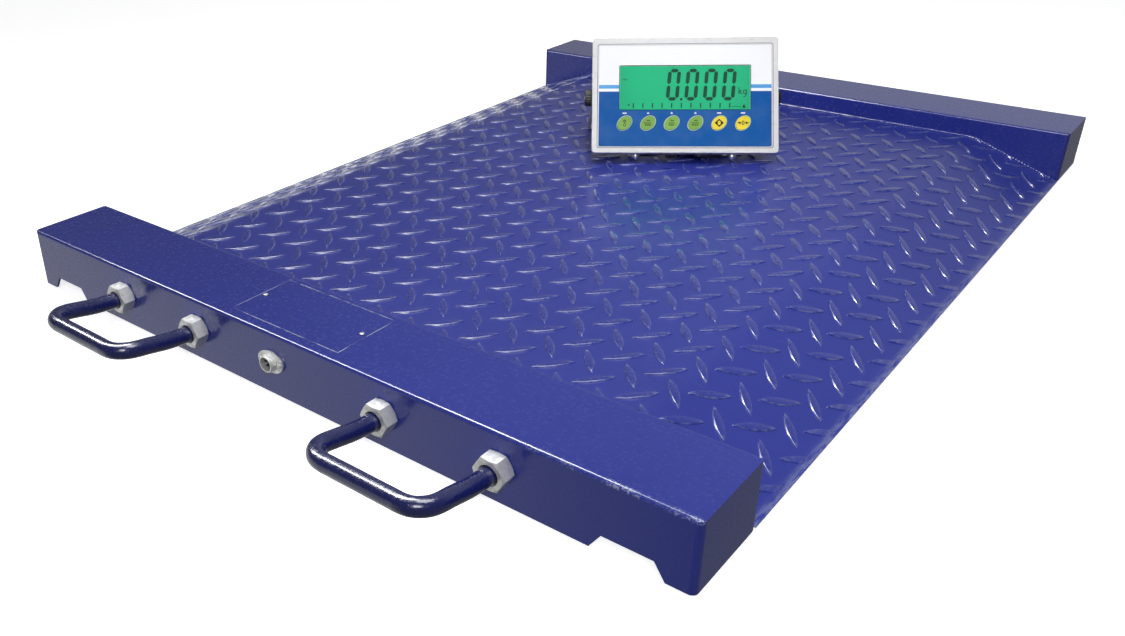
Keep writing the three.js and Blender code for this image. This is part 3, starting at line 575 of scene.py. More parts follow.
# ---- deck
deck = {
    "half": 0.450,
    "flat": 0.328,       # the ramps start here
    "crest": 0.050,
    "lip": 0.0055,
    "floorGap": 0.004,
    "thick": 0.006,      # crest to underside
    "lugHeight": 0.002,
    "near": -0.4552,
    "far": 0.5442,
    "bendWidth": 0.0045,
    "fade": 0.016,       # the lugs are ground away over this much of each lip
}


def crestHeight(x):
    # level, then a straight ramp, with the bend between them eased over a few millimetres
    slope = (deck["crest"] - deck["lip"]) / (deck["half"] - deck["flat"])
    over = (np.abs(x) - deck["flat"]) / deck["bendWidth"]
    eased = deck["bendWidth"] * np.where(over > 30, over, np.log1p(np.exp(np.minimum(over, 30))))
    return np.maximum(deck["crest"] - slope * eased, deck["lip"])


def lugFade(x):
    return np.clip((deck["half"] - np.abs(x)) / deck["fade"], 0, 1)


def plateHeight(x):
    drop = deck["lugHeight"] * (0.25 + 0.75 * lugFade(x))
    return np.maximum(crestHeight(x) - drop, deck["floorGap"] + 0.0009)


def deckPlate():
    # the plate's section, above and below, carried across the deck
    level = np.linspace(-0.30, 0.30, 13)
    bend = deck["flat"] + np.linspace(-0.024, 0.024, 13)
    ramp = np.linspace(deck["flat"] + 0.034, deck["half"], 10)
    side = np.concatenate([bend, ramp])
    x = np.concatenate([-side[::-1], level, side])
    over = plateHeight(x)
    under = np.maximum(crestHeight(x * 1.003) - deck["thick"], deck["floorGap"])
    under = np.minimum(under, over - 0.0008)
    section = np.concatenate([np.stack([x, over], 1), np.stack([x, under], 1)[::-1]])
    y = np.array([deck["near"], deck["near"], deck["far"], deck["far"]])
    shrink = np.array([0, 1, 1, 0])[:, None]
    middle = np.array([0, 0.045])
    flat = middle + (section[None] - middle) * shrink[..., None]
    points = np.stack([flat[..., 0], np.broadcast_to(y[:, None], flat.shape[:2]), flat[..., 1]], -1)
    # the two end rings close on the section's own long sides, so each end is one flat strip
    half = len(x)
    ends = []
    for row in (1, 2):
        first = row * len(section)
        a = first + np.arange(half - 1)
        b = first + len(section) - 1 - np.arange(half - 1)
        ends.append(np.stack([a, a + 1, b - 1, b], 1))
    body = gridQuads(4, len(section), closeColumns=True)[len(section):2 * len(section)]
    return points.reshape(-1, 3), np.concatenate([body, *ends])


lugs = {
    "pitchX": 0.04615,
    "pitchY": 0.0545,
    "startX": 0.027,
    "startY": 0.0355,
    "length": 0.045,
    "width": 0.0105,
    "lean": 50.0,        # degrees from the drive direction
    "stations": 11,
}


def treadLugs():
    # lens-shaped lugs leaning both ways: half width falls with the square of the way along, and each
    # section has a flat top, a round shoulder and steep sides that end just under the plate
    k, j = np.meshgrid(np.arange(-12, 12), np.arange(-12, 12), indexing="ij")
    centres = []
    for turn, offset in ((1, 0.0), (-1, 0.5)):
        x = lugs["startX"] + lugs["pitchX"] * (k + offset)
        y = lugs["startY"] + lugs["pitchY"] * (j - offset)
        centres.append(np.stack([x.ravel(), y.ravel(), np.full(x.size, turn)], 1))
    centres = np.concatenate(centres)
    reach = lugs["length"] / 2
    lean = math.radians(lugs["lean"])
    edgeX, edgeY = reach * math.cos(lean), reach * math.sin(lean)
    inside = ((np.abs(centres[:, 0]) < deck["half"] + edgeX) & (centres[:, 1] > deck["near"] - edgeY)
              & (centres[:, 1] < deck["far"] + edgeY))
    centres = centres[inside]
    s = np.sin(np.linspace(-1, 1, lugs["stations"]) * np.pi / 2)[:, None]
    t = np.array([-1.0, -0.84, -0.64, 0.64, 0.84, 1.0])[None]
    rise = np.array([-0.15, 0.68, 1.0, 1.0, 0.68, -0.15])[None]
    along = reach * s * np.ones_like(t)
    across = lugs["width"] / 2 * (1 - s ** 2) * t
    up = rise * (1 - s ** 4) ** 0.5 - 0.05
    angle = lean * centres[:, 2]
    c, n = np.cos(angle)[:, None, None], np.sin(angle)[:, None, None]
    x = centres[:, 0, None, None] + along * c - across * n
    y = centres[:, 1, None, None] + along * n + across * c
    x = np.clip(x, -deck["half"] + 0.0012, deck["half"] - 0.0012)
    y = np.clip(y, deck["near"] + 0.0004, deck["far"] - 0.0004)
    height = up * np.minimum(deck["lugHeight"], crestHeight(x) - plateHeight(x)) * lugFade(x)
    slope = (crestHeight(x + 1e-4) - crestHeight(x - 1e-4)) / 2e-4
    z = plateHeight(x) + height / np.sqrt(1 + slope ** 2) - (1 - lugFade(x)) * 0.0002
    points = np.stack([x - slope * height * 0.5, y, z], -1)
    points[..., 0] = np.clip(points[..., 0], -deck["half"] + 0.001, deck["half"] - 0.001)
    # a lug cut right off by an edge has no width left, and is dropped
    spread = np.ptp(points, axis=(1, 2))
    points = points[(spread[:, 0] > 0.006) & (spread[:, 1] > 0.006)]
    one = gridQuads(lugs["stations"], t.size, closeColumns=True)
    starts = np.arange(len(points)) * lugs["stations"] * t.size
    return points.reshape(-1, 3), (one[None] + starts[:, None, None]).reshape(-1, 4)


newPiece("tread_plate", deckPlate(), deckEnamel, "platform", ["deck_plate"], sharp=50)
lugPiece = newPiece("tread_lugs", treadLugs(), lugEnamel, "platform", sharp=80)
lugPiece.modifiers.new("flat tops", "WEIGHTED_NORMAL").keep_sharp = True
lugPoints = np.empty(len(lugPiece.data.vertices) * 3, np.float32)
lugPiece.data.vertices.foreach_get("co", lugPoints)
lugPoints = lugPoints.reshape(-1, 3)
# rim: how near a point is to a lug's shoulder, painted pale there as a highlight
risen = (lugPoints[:, 2] - plateHeight(lugPoints[:, 0])) / deck["lugHeight"]
rim = lugPiece.data.attributes.new("rim", "FLOAT", "POINT")
rim.data.foreach_set("value", np.clip(1 - np.abs(risen - 0.62) / 0.22, 0, 1).astype(np.float32))

weldEnamel = enamel("blue enamel on welds", coat=1.0)
weld = {"radius": 0.0022, "ripple": 0.0005, "pitch": 0.0042, "step": 0.0011}


def weldBead(y, side):
    # a small round bead along the deck's edge whose radius swells once for each puddle
    x = np.arange(-0.440, 0.440, weld["step"])
    z = plateHeight(x) + 0.0002
    swell = weld["radius"] + weld["ripple"] * np.sin(2 * np.pi * x / weld["pitch"] + 0.8 * np.sin(x * 40))
    path = np.stack([x, np.full_like(x, y) + side * 0.0002 * np.sin(x * 90), z], 1)
    swell = np.minimum(swell, np.maximum(deck["crest"] - z + 0.0001, 0.0012))
    return tube(path, swell, 8)


newPiece("weld_beads", [weldBead(deck["near"] + 0.0016, 1), weldBead(deck["far"] - 0.0016, -1)], weldEnamel,
         "platform", sharp=80)
print("deck made")

# ---- housings and cover
refined("housing_handle_side", housingEnamel, 0.0012, 3)
refined("housing_wheel_side", blueEnamel, 0.0012, 3)
refined("access_cover", coverEnamel, 0.0007)


def panScrew(head, height, matrix):
    # a domed head with a cross recess: the recess is where either arm is near its axis, deeper to the middle
    radius = np.concatenate([np.linspace(0, 0.92, 12), [0.98, 1.0, 1.0]])[:, None] * head
    top = height * np.sqrt(np.clip(1 - (radius / head) ** 2 * 0.75, 0, 1))
    angle = np.linspace(0, 2 * np.pi, 48, endpoint=False)[None]
    x, y = radius * np.cos(angle), radius * np.sin(angle)
    near = np.minimum(np.abs(x), np.abs(y))
    arm = np.clip(1 - near / (head * 0.13), 0, 1) ** 0.4 * (radius < head * 0.6)
    z = top - 0.55 * height * arm * (1 - radius / head * 0.8)
    z[-1] = 0
    points = np.stack([x, y, z], -1).reshape(-1, 3)
    bottom = np.zeros((1, 48, 3))
    points = np.concatenate([points, bottom.reshape(-1, 3)])
    return placed(points, matrix), gridQuads(len(radius) + 1, 48, closeColumns=True)


coverScrews = {"x": (-0.085, 0.056), "y": -0.50525, "z": 0.0753, "head": 0.0027, "rise": 0.0015}
for side, x in zip(("left", "right"), coverScrews["x"]):
    place = at(x, coverScrews["y"], coverScrews["z"]) @ Matrix.Rotation(0.5 + x * 9, 4, "Z")
    newPiece("cover_screw_head_" + side, panScrew(coverScrews["head"], coverScrews["rise"], place), dullSteel,
             "platform", ["cover_screw_" + side], sharp=60)

# ---- socket for the lead
socket = {"x": -0.019, "z": 0.043, "wall": -0.5608, "screws": 0.0138, "pins": 0.004, "head": (0.0026, 0.0018)}
refined("socket_shell", zinc, 0.0004, flat=2)
refined("socket_insert", blackPlastic, 0.0002, flat=2)
towardFront = turned(90, "X")
for side, step in (("left", -1), ("right", 1)):
    place = at(socket["x"] + step * socket["screws"], socket["wall"] - 0.0028, socket["z"])
    newPiece("socket_screw_head_" + side, panScrew(*socket["head"], place @ towardFront), zinc, "platform",
             ["socket_screw_" + side], sharp=60)
socketPins = []
for k in range(5):
    angle = math.radians(90 + 72 * k)
    place = at(socket["x"] + socket["pins"] * math.cos(angle), socket["wall"] - 0.0002,
               socket["z"] + socket["pins"] * math.sin(angle)) @ towardFront
    socketPins.append(lathe([(0, -0.001), (0.0007, -0.001), (0.0007, 0.0035), (0.0004, 0.0045), (0, 0.0046)],
                            10, place))
newPiece("socket_pins", socketPins, gold, "platform")

# ---- handles
handles = {
    "x": 0.200,
    "span": 0.131,
    "wall": -0.5605,
    "reach": 0.100,
    "bar": 0.0088,
    "bend": 0.022,
    "height": 0.042,
    "rise": 0.012,
    "tail": 0.022,
    "nut": 0.016,
    "bore": 0.0092,
    "acrossFlats": 0.030,
}


def handlePath(x):
    # a leg that climbs past its nut, a quarter bend, the grip, and back again
    half, wall = handles["span"] / 2, handles["wall"]
    grip = wall - handles["reach"]
    legEnd = grip + handles["bend"]
    leg = [(half, wall + handles["tail"]), (half, wall), (half, wall - handles["nut"])]
    slope = [(half, (1 - t) * (wall - handles["nut"]) + t * legEnd) for t in (0.4, 0.8)]
    turn = np.linspace(0, np.pi / 2, 5)
    bend = np.stack([half - handles["bend"] * (1 - np.cos(turn)), legEnd - handles["bend"] * np.sin(turn)], 1)
    right = np.concatenate([leg, slope, bend, [(half - handles["bend"] - handles["bar"], grip)]])
    flat = np.concatenate([right, (right * (-1, 1))[::-1]])
    way = np.clip((wall - flat[:, 1] - handles["nut"]) / (handles["reach"] - handles["nut"]), 0, 1)
    lift = handles["height"] + handles["rise"] * way * way * (3 - 2 * way)
    return smoothPath(np.stack([x + flat[:, 0], flat[:, 1], lift], 1), 150)


def hexNut(flats, thick, bore, matrix, turns=96):
    # a hexagon whose corners are cut by a cone at both ends, round a threaded bore
    angle = np.linspace(0, 2 * np.pi, turns, endpoint=False)
    hexRadius = flats / 2 / np.cos((angle + np.pi / 6) % (np.pi / 3) - np.pi / 6)
    face = flats / 2 * 0.985
    drop = np.maximum(hexRadius - face, 0) * math.tan(math.radians(30))
    pitch = np.linspace(0.12, 0.88, 17)
    thread = bore + np.where(np.arange(17) % 2, 0.0004, 0.0)
    rings = [(face, thick), (hexRadius, thick - drop), (hexRadius, drop), (face, 0 * drop),
             (bore + 0.0012, 0), *zip(thread, pitch * thick), (bore + 0.0012, thick)]
    radius = np.stack([np.broadcast_to(r, turns) for r, _ in rings])
    height = np.stack([np.broadcast_to(h, turns) for _, h in rings])
    points = np.stack([radius * np.cos(angle), radius * np.sin(angle), height], -1).reshape(-1, 3)
    return placed(points, matrix), gridQuads(len(rings), turns, closeRows=True, closeColumns=True)


legs = [side * handles["x"] + leg * handles["span"] / 2 for side in (-1, 1) for leg in (-1, 1)]
for side, x in (("left", -handles["x"]), ("right", handles["x"])):
    newPiece("handle_bar_" + side, tube(handlePath(x), handles["bar"], 28), handleEnamel, "platform",
             ["handle_" + side])
nutNames = ("left_outer", "left_inner", "right_inner", "right_outer")
for name, x in zip(nutNames, legs):
    place = at(x, handles["wall"] - 0.0003, handles["height"]) @ towardFront
    place = place @ turned(90, "Z")
    nut = hexNut(handles["acrossFlats"], handles["nut"], handles["bore"], place)
    newPiece("hex_nut_" + name, nut, zinc, "platform", ["handle_nut_" + name],
             sharp=28)
innerNuts = [hexNut(handles["acrossFlats"] * 0.9, 0.008, 0.0093,
                    at(x, handles["wall"] + 0.0115, handles["height"]) @ towardFront)
             for x in legs]
newPiece("hex_nuts_inside", innerNuts, zinc, "platform", sharp=28)
print("handles and socket made")

# ---- load cells, feet and what hangs under the platform
cells = {"footX": 0.390, "footY": 0.545, "shift": 0.0445, "low": 0.0377, "inner": (0.284, 0.306),
         "head": (0.0065, 0.007)}
for end in ("front", "rear"):
    for side in ("left", "right"):
        refined("load_cell_" + end + "_" + side, cellMetal, 0.0008, flat=2)


def capScrew(radius, height, matrix):
    # a socket screw: a chamfered head with a hexagon sunk in it
    profile = [(0, 0), (radius, 0), (radius, height * 0.9), (radius * 0.93, height), (radius * 0.5, height),
               (radius * 0.5, height * 0.4), (0, height * 0.4)]

    def hexagon(angle, r, h):
        sunk = (r < radius * 0.6) & (h > height * 0.3)
        return (r / np.cos((angle % (np.pi / 3)) - np.pi / 6) - r) * sunk

    return lathe(profile, 48, matrix, hexagon)


screws = [capScrew(*cells["head"], at(sx * x, sy * cells["footY"] + cells["shift"], cells["low"])
                   @ turned(180, "X"))
          for sx in (-1, 1) for sy in (-1, 1) for x in cells["inner"]]
newPiece("cell_screws", screws, zinc, "platform", sharp=30)

foot = {"radius": 0.024, "pad": 0.009, "stud": 0.006, "top": 0.0637, "pitch": 0.00125}


def footPiece(matrix):
    # a pad and a stud whose radius rises and falls with each thread; the lock nut is made where the foot is
    # placed
    start, end = foot["pad"] + 0.0065, foot["top"] - 0.001
    z = np.arange(start, end, foot["pitch"] / 2)
    thread = np.stack([foot["stud"] - 0.0005 * (np.arange(len(z)) % 2), z], 1)
    pad = [(0, 0), (0.0222, 0), (0.0238, 0.0008), (0.0240, 0.0045), (0.0232, 0.0056), (0.0185, 0.0088),
           (0.0170, foot["pad"]), (0.0088, foot["pad"])]
    stud = [(foot["stud"], foot["pad"] + 0.001), *thread,
            (foot["stud"] - 0.0008, foot["top"]), (0, foot["top"])]
    return lathe(np.array([*pad, *stud]), 40, matrix)


for end, sy in (("front", -1), ("rear", 1)):
    for side, sx in (("left", -1), ("right", 1)):
        name = end + "_" + side
        place = at(sx * cells["footX"], sy * cells["footY"] + cells["shift"], 0)
        nut = hexNut(0.0185, 0.006, 0.0056, place @ at(0, 0, foot["pad"] + 0.0002), 72)
        newPiece("levelling_foot_" + name, [footPiece(place), nut], castSteel, "foot_" + name,
                 ["foot_" + name], sharp=40)

# ---- wheels
wheel = {"x": 0.235, "y": 0.6395, "z": 0.0345, "radius": 0.030, "half": 0.012, "hub": 0.0225, "bore": 0.0053}


def tyreProfile():
    # a rounded tread with three shallow grooves
    w = np.linspace(-1, 1, 41)
    crown = wheel["radius"] - 0.0026 * np.abs(w) ** 5 - 0.0007 * (np.cos(w * 3 * np.pi) > 0.55)
    outer = np.stack([crown, w * (wheel["half"] - 0.0006)], 1)
    hub, side, half = wheel["hub"], wheel["radius"] - 0.0045, wheel["half"]
    return np.concatenate([[(hub, -half + 0.0016), (side, -half)], outer,
                           [(side, half), (hub, half - 0.0016), (hub, -half + 0.0016)]])


def hubProfile():
    half, rim = wheel["half"], wheel["hub"] + 0.0003
    side = [(wheel["bore"], half), (0.0095, half), (0.0105, half - 0.0035), (0.0185, half - 0.0035),
            (0.0195, half - 0.0008), (rim, half - 0.0008)]
    return np.array([*side, *[(r, -z) for r, z in side[::-1]], side[0]])


for side, step in (("left", -1), ("right", 1)):
    place = at(step * wheel["x"], wheel["y"], wheel["z"]) @ turned(90, "Y")
    body = "wheel_" + side
    newPiece("wheel_tyre_" + side, lathe(tyreProfile(), 96, place), tyreRubber, body,
             [body], 50)
    ribs = [lathe([(0, 0), (0.0016, 0), (0.0016, 0.0022), (0, 0.0022)], 12,
                  place @ Matrix.Rotation(k * math.pi / 3, 4, "Z") @ at(0.0145, 0, z))
            for k in range(6) for z in (0.0080, -0.0102)]
    newPiece("wheel_hub_" + side, [lathe(hubProfile(), 72, place), *ribs], greyPaint, body)
    refined("wheel_axle_" + side, zinc, 0.0003, flat=2)
print("running gear made")

# ---- indicator: case, bezel and print
face = {
    "windowHalf": 0.09205,
    "windowUp": 0.0952,
    "windowHeight": 0.0643,
    "keyUp": 0.0431,
    "keyX": -0.0014,
    "keyPitch": 0.0333,
    "keyLong": 0.0116,
    "keyShort": 0.00845,
    "keyLean": 45.0,
}
printLook = {
    "white": (0.93, 0.94, 0.95),
    "stripe": (0.10, 0.38, 0.75),
    "blue": (0.003, 0.092, 0.34),
    "stripeTop": 0.0994,
    "stripeLow": 0.0940,
    "blueTop": 0.0897,
}


def printFilm():
    # white above, a light stripe and a white line across, and blue below; the film has a satin grain
    g = Graph("face print film", printLook["white"], 0.42, Specular_IOR_Level=0.08)
    up = g.axis("Z", g.seen(faceFrame))
    sharp = 0.00006

    def above(level):
        return g.span(up, level - sharp, level + sharp, smooth=False)

    color = g.mix(above(printLook["blueTop"]), printLook["blue"], printLook["white"])
    color = g.mix(above(printLook["stripeLow"]), color, printLook["stripe"])
    color = g.mix(above(printLook["stripeTop"]), color, printLook["white"])
    tone = g.span(g.noise(30.0, 3.0), 0.3, 0.7, 0.0, 0.04)
    g.paint(g.mix(tone, color, (0.5, 0.55, 0.65)), g.span(g.noise(120.0), 0.3, 0.7, 0.36, 0.48))
    g.bump(g.noise(2400.0, 1.0), 0.00002, 0.5)
    return g.material


def backlight():
    # a lit liquid-crystal panel: green, a little darker to the edges, with the faint net of its cells
    g = Graph("green backlit panel", (0.015, 0.42, 0.16), 0.45)
    place = g.seen(faceFrame)
    x, up = g.axis("X", place), g.axis("Z", place)
    side = g.span(g.math("ABSOLUTE", x), 0.060, 0.094, 1.0, 0.88)
    rise = g.span(up, 0.064, 0.127, 0.94, 1.04)
    net = g.span(g.noise(700.0, 2.0), 0.3, 0.7, 0.96, 1.03)
    light = g.both(side, rise, net)
    color = g.mix(light, (0.0, 0.09, 0.035), (0.010, 0.40, 0.180))
    g.paint(color)
    g.shader.inputs["Specular IOR Level"].default_value = 0.0
    g.put(g.shader.inputs["Emission Color"], color)
    g.shader.inputs["Emission Strength"].default_value = 0.35
    return g.material


def clearGlass():
    g = Graph("clear window", (0.25, 0.40, 0.32), 0.06, Alpha=0.05)
    g.paint(roughness=g.span(g.noise(60.0, 3.0), 0.3, 0.7, 0.04, 0.10))
    return g.material


film = printFilm()
panelGreen = backlight()
glass = clearGlass()
segmentInk = plastic("dark segments", (0.004, 0.060, 0.028), 0.7, 0.00001, 0.15, Specular_IOR_Level=0.0)
blackInk = plastic("black ink", (0.012, 0.016, 0.010), 0.6, 0.00001, 0.1, Specular_IOR_Level=0.05)
whiteInk = plastic("white ink", (0.90, 0.92, 0.93), 0.35, 0.00001, 0.05)
paleInk = plastic("pale green ink", (0.62, 0.74, 0.36), 0.4, 0.00001, 0.08)
# grey for the painted shadow in the step round the print
gapShadowPaint = plastic("grey painted gap shadow", (0.13, 0.14, 0.16), 0.6, 0.00001, 0.1, Specular_IOR_Level=0.05)
keyGreen = plastic("green key cap", (0.19, 0.42, 0.045), 0.32, 0.00003, 0.12, Coat_Weight=0.3)
keyYellow = plastic("yellow key cap", (0.88, 0.70, 0.02), 0.32, 0.00003, 0.08, Coat_Weight=0.3)

refined("bezel_front", whiteShell, 0.0009, 3, flat=1)
refined("case_rear", whiteShell, 0.0012, 3, flat=1)
refined("overlay_panel", film, 0.0, flat=1)
refined("bracket", greyPaint, 0.0006, flat=1)


def roundedBox(halfWidth, low, high, radius, perCorner=8):
    # a rectangle's outline with quarter circles at its corners
    quarter = np.linspace(0, np.pi / 2, perCorner)
    corners = [(1, 1, 0), (-1, 1, 1), (-1, -1, 2), (1, -1, 3)]
    middle, half = (low + high) / 2, (high - low) / 2
    return np.concatenate([
        np.stack([sx * (halfWidth - radius) + radius * np.cos(quarter + k * np.pi / 2),
                  middle + sz * (half - radius) + radius * np.sin(quarter + k * np.pi / 2)], 1)
        for sx, sz, k in corners])


# a thin line round the window, and round the print a painted shadow in the step to the bezel
windowLow = face["windowUp"] - face["windowHeight"] / 2
windowTop = face["windowUp"] + face["windowHeight"] / 2
lines = [
    ringPlate(roundedBox(face["windowHalf"] + 0.0009, windowLow - 0.0009, windowTop + 0.0009, 0.0024),
              roundedBox(face["windowHalf"] + 0.0001, windowLow - 0.0001, windowTop + 0.0001, 0.0018),
              -0.00006, 0.0, faceFrame),
]
newPiece("window_line", lines, segmentInk, "head")
# painted shadow: a dark ring where the step from the bezel down to the print is in shade
gapShadowRing = ringPlate(roundedBox(0.1240, 0.0066, 0.1602, 0.0034), roundedBox(0.1232, 0.0074, 0.1594, 0.0028),
                     -0.00005, 0.0, faceFrame)
newPiece("bezel_gap_shadow", gapShadowRing, gapShadowPaint, "head")

picture = plate(roundedBox(face["windowHalf"] - 0.0002, windowLow + 0.0002, windowTop - 0.0002, 0.0016),
                0.00078, 0.00095, faceFrame)
newPiece("display_picture", picture, panelGreen, "head")

digits = {
    "count": 4,
    "left": -0.0268,
    "low": 0.0762,
    "high": 0.1228,
    "width": 0.0182,
    "pitch": 0.0261,
    "bar": 0.0052,
    "gap": 0.0007,
    "lean": 0.085,       # sideways for each unit of height
}


def segmentBar(a, b, thick):
    # a bar between two points with pointed ends
    a, b = np.array(a, float), np.array(b, float)
    way = (b - a) / np.linalg.norm(b - a)
    side = np.array([-way[1], way[0]]) * thick / 2
    point = way * thick / 2
    return np.array([a, a + point + side, b - point + side, b, b - point - side, a + point - side])


def digitZero(x):
    # a seven-segment nought: all but the middle bar
    bar, gap = digits["bar"], digits["gap"]
    left, right = x + bar / 2, x + digits["width"] - bar / 2
    low, high = digits["low"] + bar / 2, digits["high"] - bar / 2
    mid = (low + high) / 2
    pairs = [((left + gap, low), (right - gap, low)), ((left + gap, high), (right - gap, high)),
             ((left, low + gap), (left, mid - gap)), ((left, mid + gap), (left, high - gap)),
             ((right, low + gap), (right, mid - gap)), ((right, mid + gap), (right, high - gap))]
    return [segmentBar(a, b, bar) for a, b in pairs]


def leaning(shape):
    return shape + np.stack([(shape[:, 1] - digits["low"]) * digits["lean"], 0 * shape[:, 1]], 1)


def displayMarks():
    shapes = []
    for k in range(digits["count"]):
        shapes += [leaning(s) for s in digitZero(digits["left"] + k * digits["pitch"])]
    dot = digits["left"] + digits["pitch"] - 0.0040
    shapes.append(roundedBox(0.0017, 0.0763, 0.0800, 0.0008) + (dot, 0))
    for k in range(11):
        x = -0.0733 + k * 0.01358
        shapes.append(np.array([(x, 0.0655), (x + 0.0017, 0.0655), (x + 0.0019, 0.0727),
                                (x + 0.0002, 0.0727)]))
    # the small marks: a wave for stable, a bar under the scale, and a triangle at its end
    shapes.append(segmentBar((-0.0880, 0.1060), (-0.0862, 0.1085), 0.0009))
    shapes.append(segmentBar((-0.0862, 0.1085), (-0.0835, 0.1062), 0.0009))
    shapes.append(segmentBar((-0.0835, 0.1062), (-0.0812, 0.1088), 0.0009))
    shapes.append(np.array([(-0.0800, 0.0680), (-0.0765, 0.0697), (-0.0800, 0.0714)]))
    shapes.append(np.array([(0.0655, 0.0668), (0.0790, 0.0668), (0.0790, 0.0676), (0.0655, 0.0676)]))
    shapes.append(np.array([(0.0805, 0.0655), (0.0860, 0.0655), (0.0833, 0.0712)]))
    parts = [plate(s, 0.00073, 0.00079, faceFrame) for s in shapes]
    # the unit, k and g, from bars and a ring
    unit = [((0.0762, 0.0850), (0.0764, 0.0955)), ((0.0768, 0.0885), (0.0800, 0.0917)),
            ((0.0778, 0.0892), (0.0802, 0.0850)), ((0.0864, 0.0838), (0.0866, 0.0922)),
            ((0.0864, 0.0838), (0.0848, 0.0818)), ((0.0848, 0.0818), (0.0822, 0.0820))]
    parts += [plate(segmentBar(a, b, 0.0013), 0.00073, 0.00079, faceFrame) for a, b in unit]
    bowl = ringPlate(ellipse(0.0844, 0.0886, 0.0027, 0.0035), ellipse(0.0844, 0.0886, 0.0015, 0.0023),
                     0.00073, 0.00079, faceFrame)
    return [*parts, bowl]


newPiece("display_digits", displayMarks(), segmentInk, "head")

# ---- keys
keyPlaces = [face["keyX"] + (k - 2.5) * face["keyPitch"] for k in range(6)]


def line(points, thick):
    return [segmentBar(a, b, thick) for a, b in zip(points[:-1], points[1:])]


def keySymbol(kind, x, z):
    # plain marks: power, print, unit, sum, tare and zero, drawn from bars, rings and arrows
    front, back = -0.00098, -0.0009  # just proud of the key's face
    solid, rings = [], []
    if kind == "power":
        rings.append((ellipse(x, z + 0.0026, 0.0022, 0.0022), ellipse(x, z + 0.0026, 0.0014, 0.0014)))
        rings.append((ellipse(x, z - 0.0030, 0.0019, 0.0024), ellipse(x, z - 0.0030, 0.0011, 0.0015)))
        solid += line([(x, z + 0.0010), (x, z + 0.0048)], 0.0007)
    elif kind in ("print", "unit", "sum"):
        wide = {"print": 0.0052, "unit": 0.0044, "sum": 0.0056}[kind]
        solid.append(np.array([(x - 0.0018, z + 0.0030), (x + 0.0030, z + 0.0030), (x + 0.0030, z + 0.0041),
                               (x - 0.0018, z + 0.0041)]))
        for row in (0.0004, -0.0016, -0.0032):
            short = wide * (0.9 if row < -0.002 else 1.0)
            solid.append(np.array([(x - short, z + row - 0.0006), (x + short * 0.85, z + row - 0.0006),
                                   (x + short * 0.85, z + row + 0.0002), (x - short, z + row + 0.0002)]))
    elif kind == "tare":
        solid.append(np.array([(x - 0.0064, z), (x, z + 0.0060), (x + 0.0064, z), (x, z - 0.0060)]))
    else:
        rings.append((ellipse(x, z, 0.0019, 0.0031), ellipse(x, z, 0.0009, 0.0020)))
        for step in (-1, 1):
            solid.append(np.array([(x + step * 0.0075, z + 0.0008), (x + step * 0.0049, z + 0.0008),
                                   (x + step * 0.0049, z - 0.0008), (x + step * 0.0075, z - 0.0008)]))
            solid.append(np.array([(x + step * 0.0051, z + 0.0022), (x + step * 0.0024, z),
                                   (x + step * 0.0051, z - 0.0022)]))
    return ([plate(s, front, back, faceFrame) for s in solid]
            + [ringPlate(a, b, front, back, faceFrame) for a, b in rings])


keyKinds = ("power", "print", "unit", "sum", "tare", "zero")
for number, (kind, x) in enumerate(zip(keyKinds, keyPlaces), 1):
    body = "key_%d" % number
    refined(body, keyGreen if number < 5 else keyYellow, 0.0003, flat=1)
    newPiece("key_symbol_" + kind, keySymbol(kind, x, face["keyUp"]), blackInk, body)
tareMark = [plate(s, -0.00106, -0.00099, faceFrame)
            for s in (ellipse(keyPlaces[4], face["keyUp"], 0.0022, 0.0033),)]
newPiece("key_symbol_tare_dot", tareMark, keyYellow, "key_5")



def roundKey(x, more):
    # the key's own outline, a little larger
    return ellipse(x, face["keyUp"], face["keyLong"] + more, face["keyShort"] + more, face["keyLean"])


rings = [ringPlate(roundKey(x, 0.0010), roundKey(x, 0.0003), -0.00006, 0.0, faceFrame) for x in keyPlaces]
small = []
for k, x in enumerate(keyPlaces):
    z = 0.0577
    if k in (1, 2, 3):
        small.append(plate(np.array([(x - 0.0020, z - 0.0010), (x + 0.0020, z - 0.0010), (x, z + 0.0019)]),
                           -0.00006, 0.0, faceFrame))
    else:
        bar = roundedBox(0.0030, z - 0.0009, z + 0.0009, 0.0006) + (x, 0)
        small.append(plate(bar, -0.00006, 0.0, faceFrame))
newPiece("key_outlines", rings, paleInk, "head")
newPiece("key_marks", small, whiteInk, "head")
print("indicator face made")

# ---- knobs, domes, glands and screws of the indicator
knob = {"seat": 0.1261, "stud": 0.003, "inner": 0.099, "radius": 0.012, "thick": 0.014,
        "ribs": 18, "rib": 0.0009}


def knobRibs(angle, radius, height):
    # rounded grips: the rim's radius rises and falls round the knob
    rim = (radius > knob["radius"] * 0.8) & (height > knob["seat"] + 0.001)
    return rim * knob["rib"] * (np.abs(np.cos(angle * knob["ribs"] / 2)) - 1)


seat, outer = knob["seat"], knob["seat"] + knob["thick"]
knobProfile = [
    (0, knob["inner"]), (knob["stud"], knob["inner"]), (knob["stud"], seat), (0.0095, seat),
    (0.0100, seat + 0.002),
    (0.0118, seat + 0.0028), (0.0120, seat + 0.0040), (0.0120, outer - 0.0030), (0.0116, outer - 0.0014),
    (0.0102, outer - 0.0003), (0.0088, outer), (0.0080, outer - 0.0009), (0.0040, outer - 0.0012),
    (0, outer - 0.0012),
]
for step, side in ((-1, "left"), (1, "right")):
    place = headFrame @ Matrix.Rotation(step * math.pi / 2, 4, "Y")
    name = "knob_" + side
    newPiece("clamp_" + name, lathe(knobProfile, 144, place, knobRibs), blackPlastic, name,
             [name], 50)
    cap = lathe([(0, outer - 0.0014), (0.0034, outer - 0.0014), (0.0034, outer - 0.0004),
                 (0.0028, outer - 0.0001), (0, outer - 0.0001)], 32, place)
    newPiece("clamp_cap_" + side, cap, zinc, name)

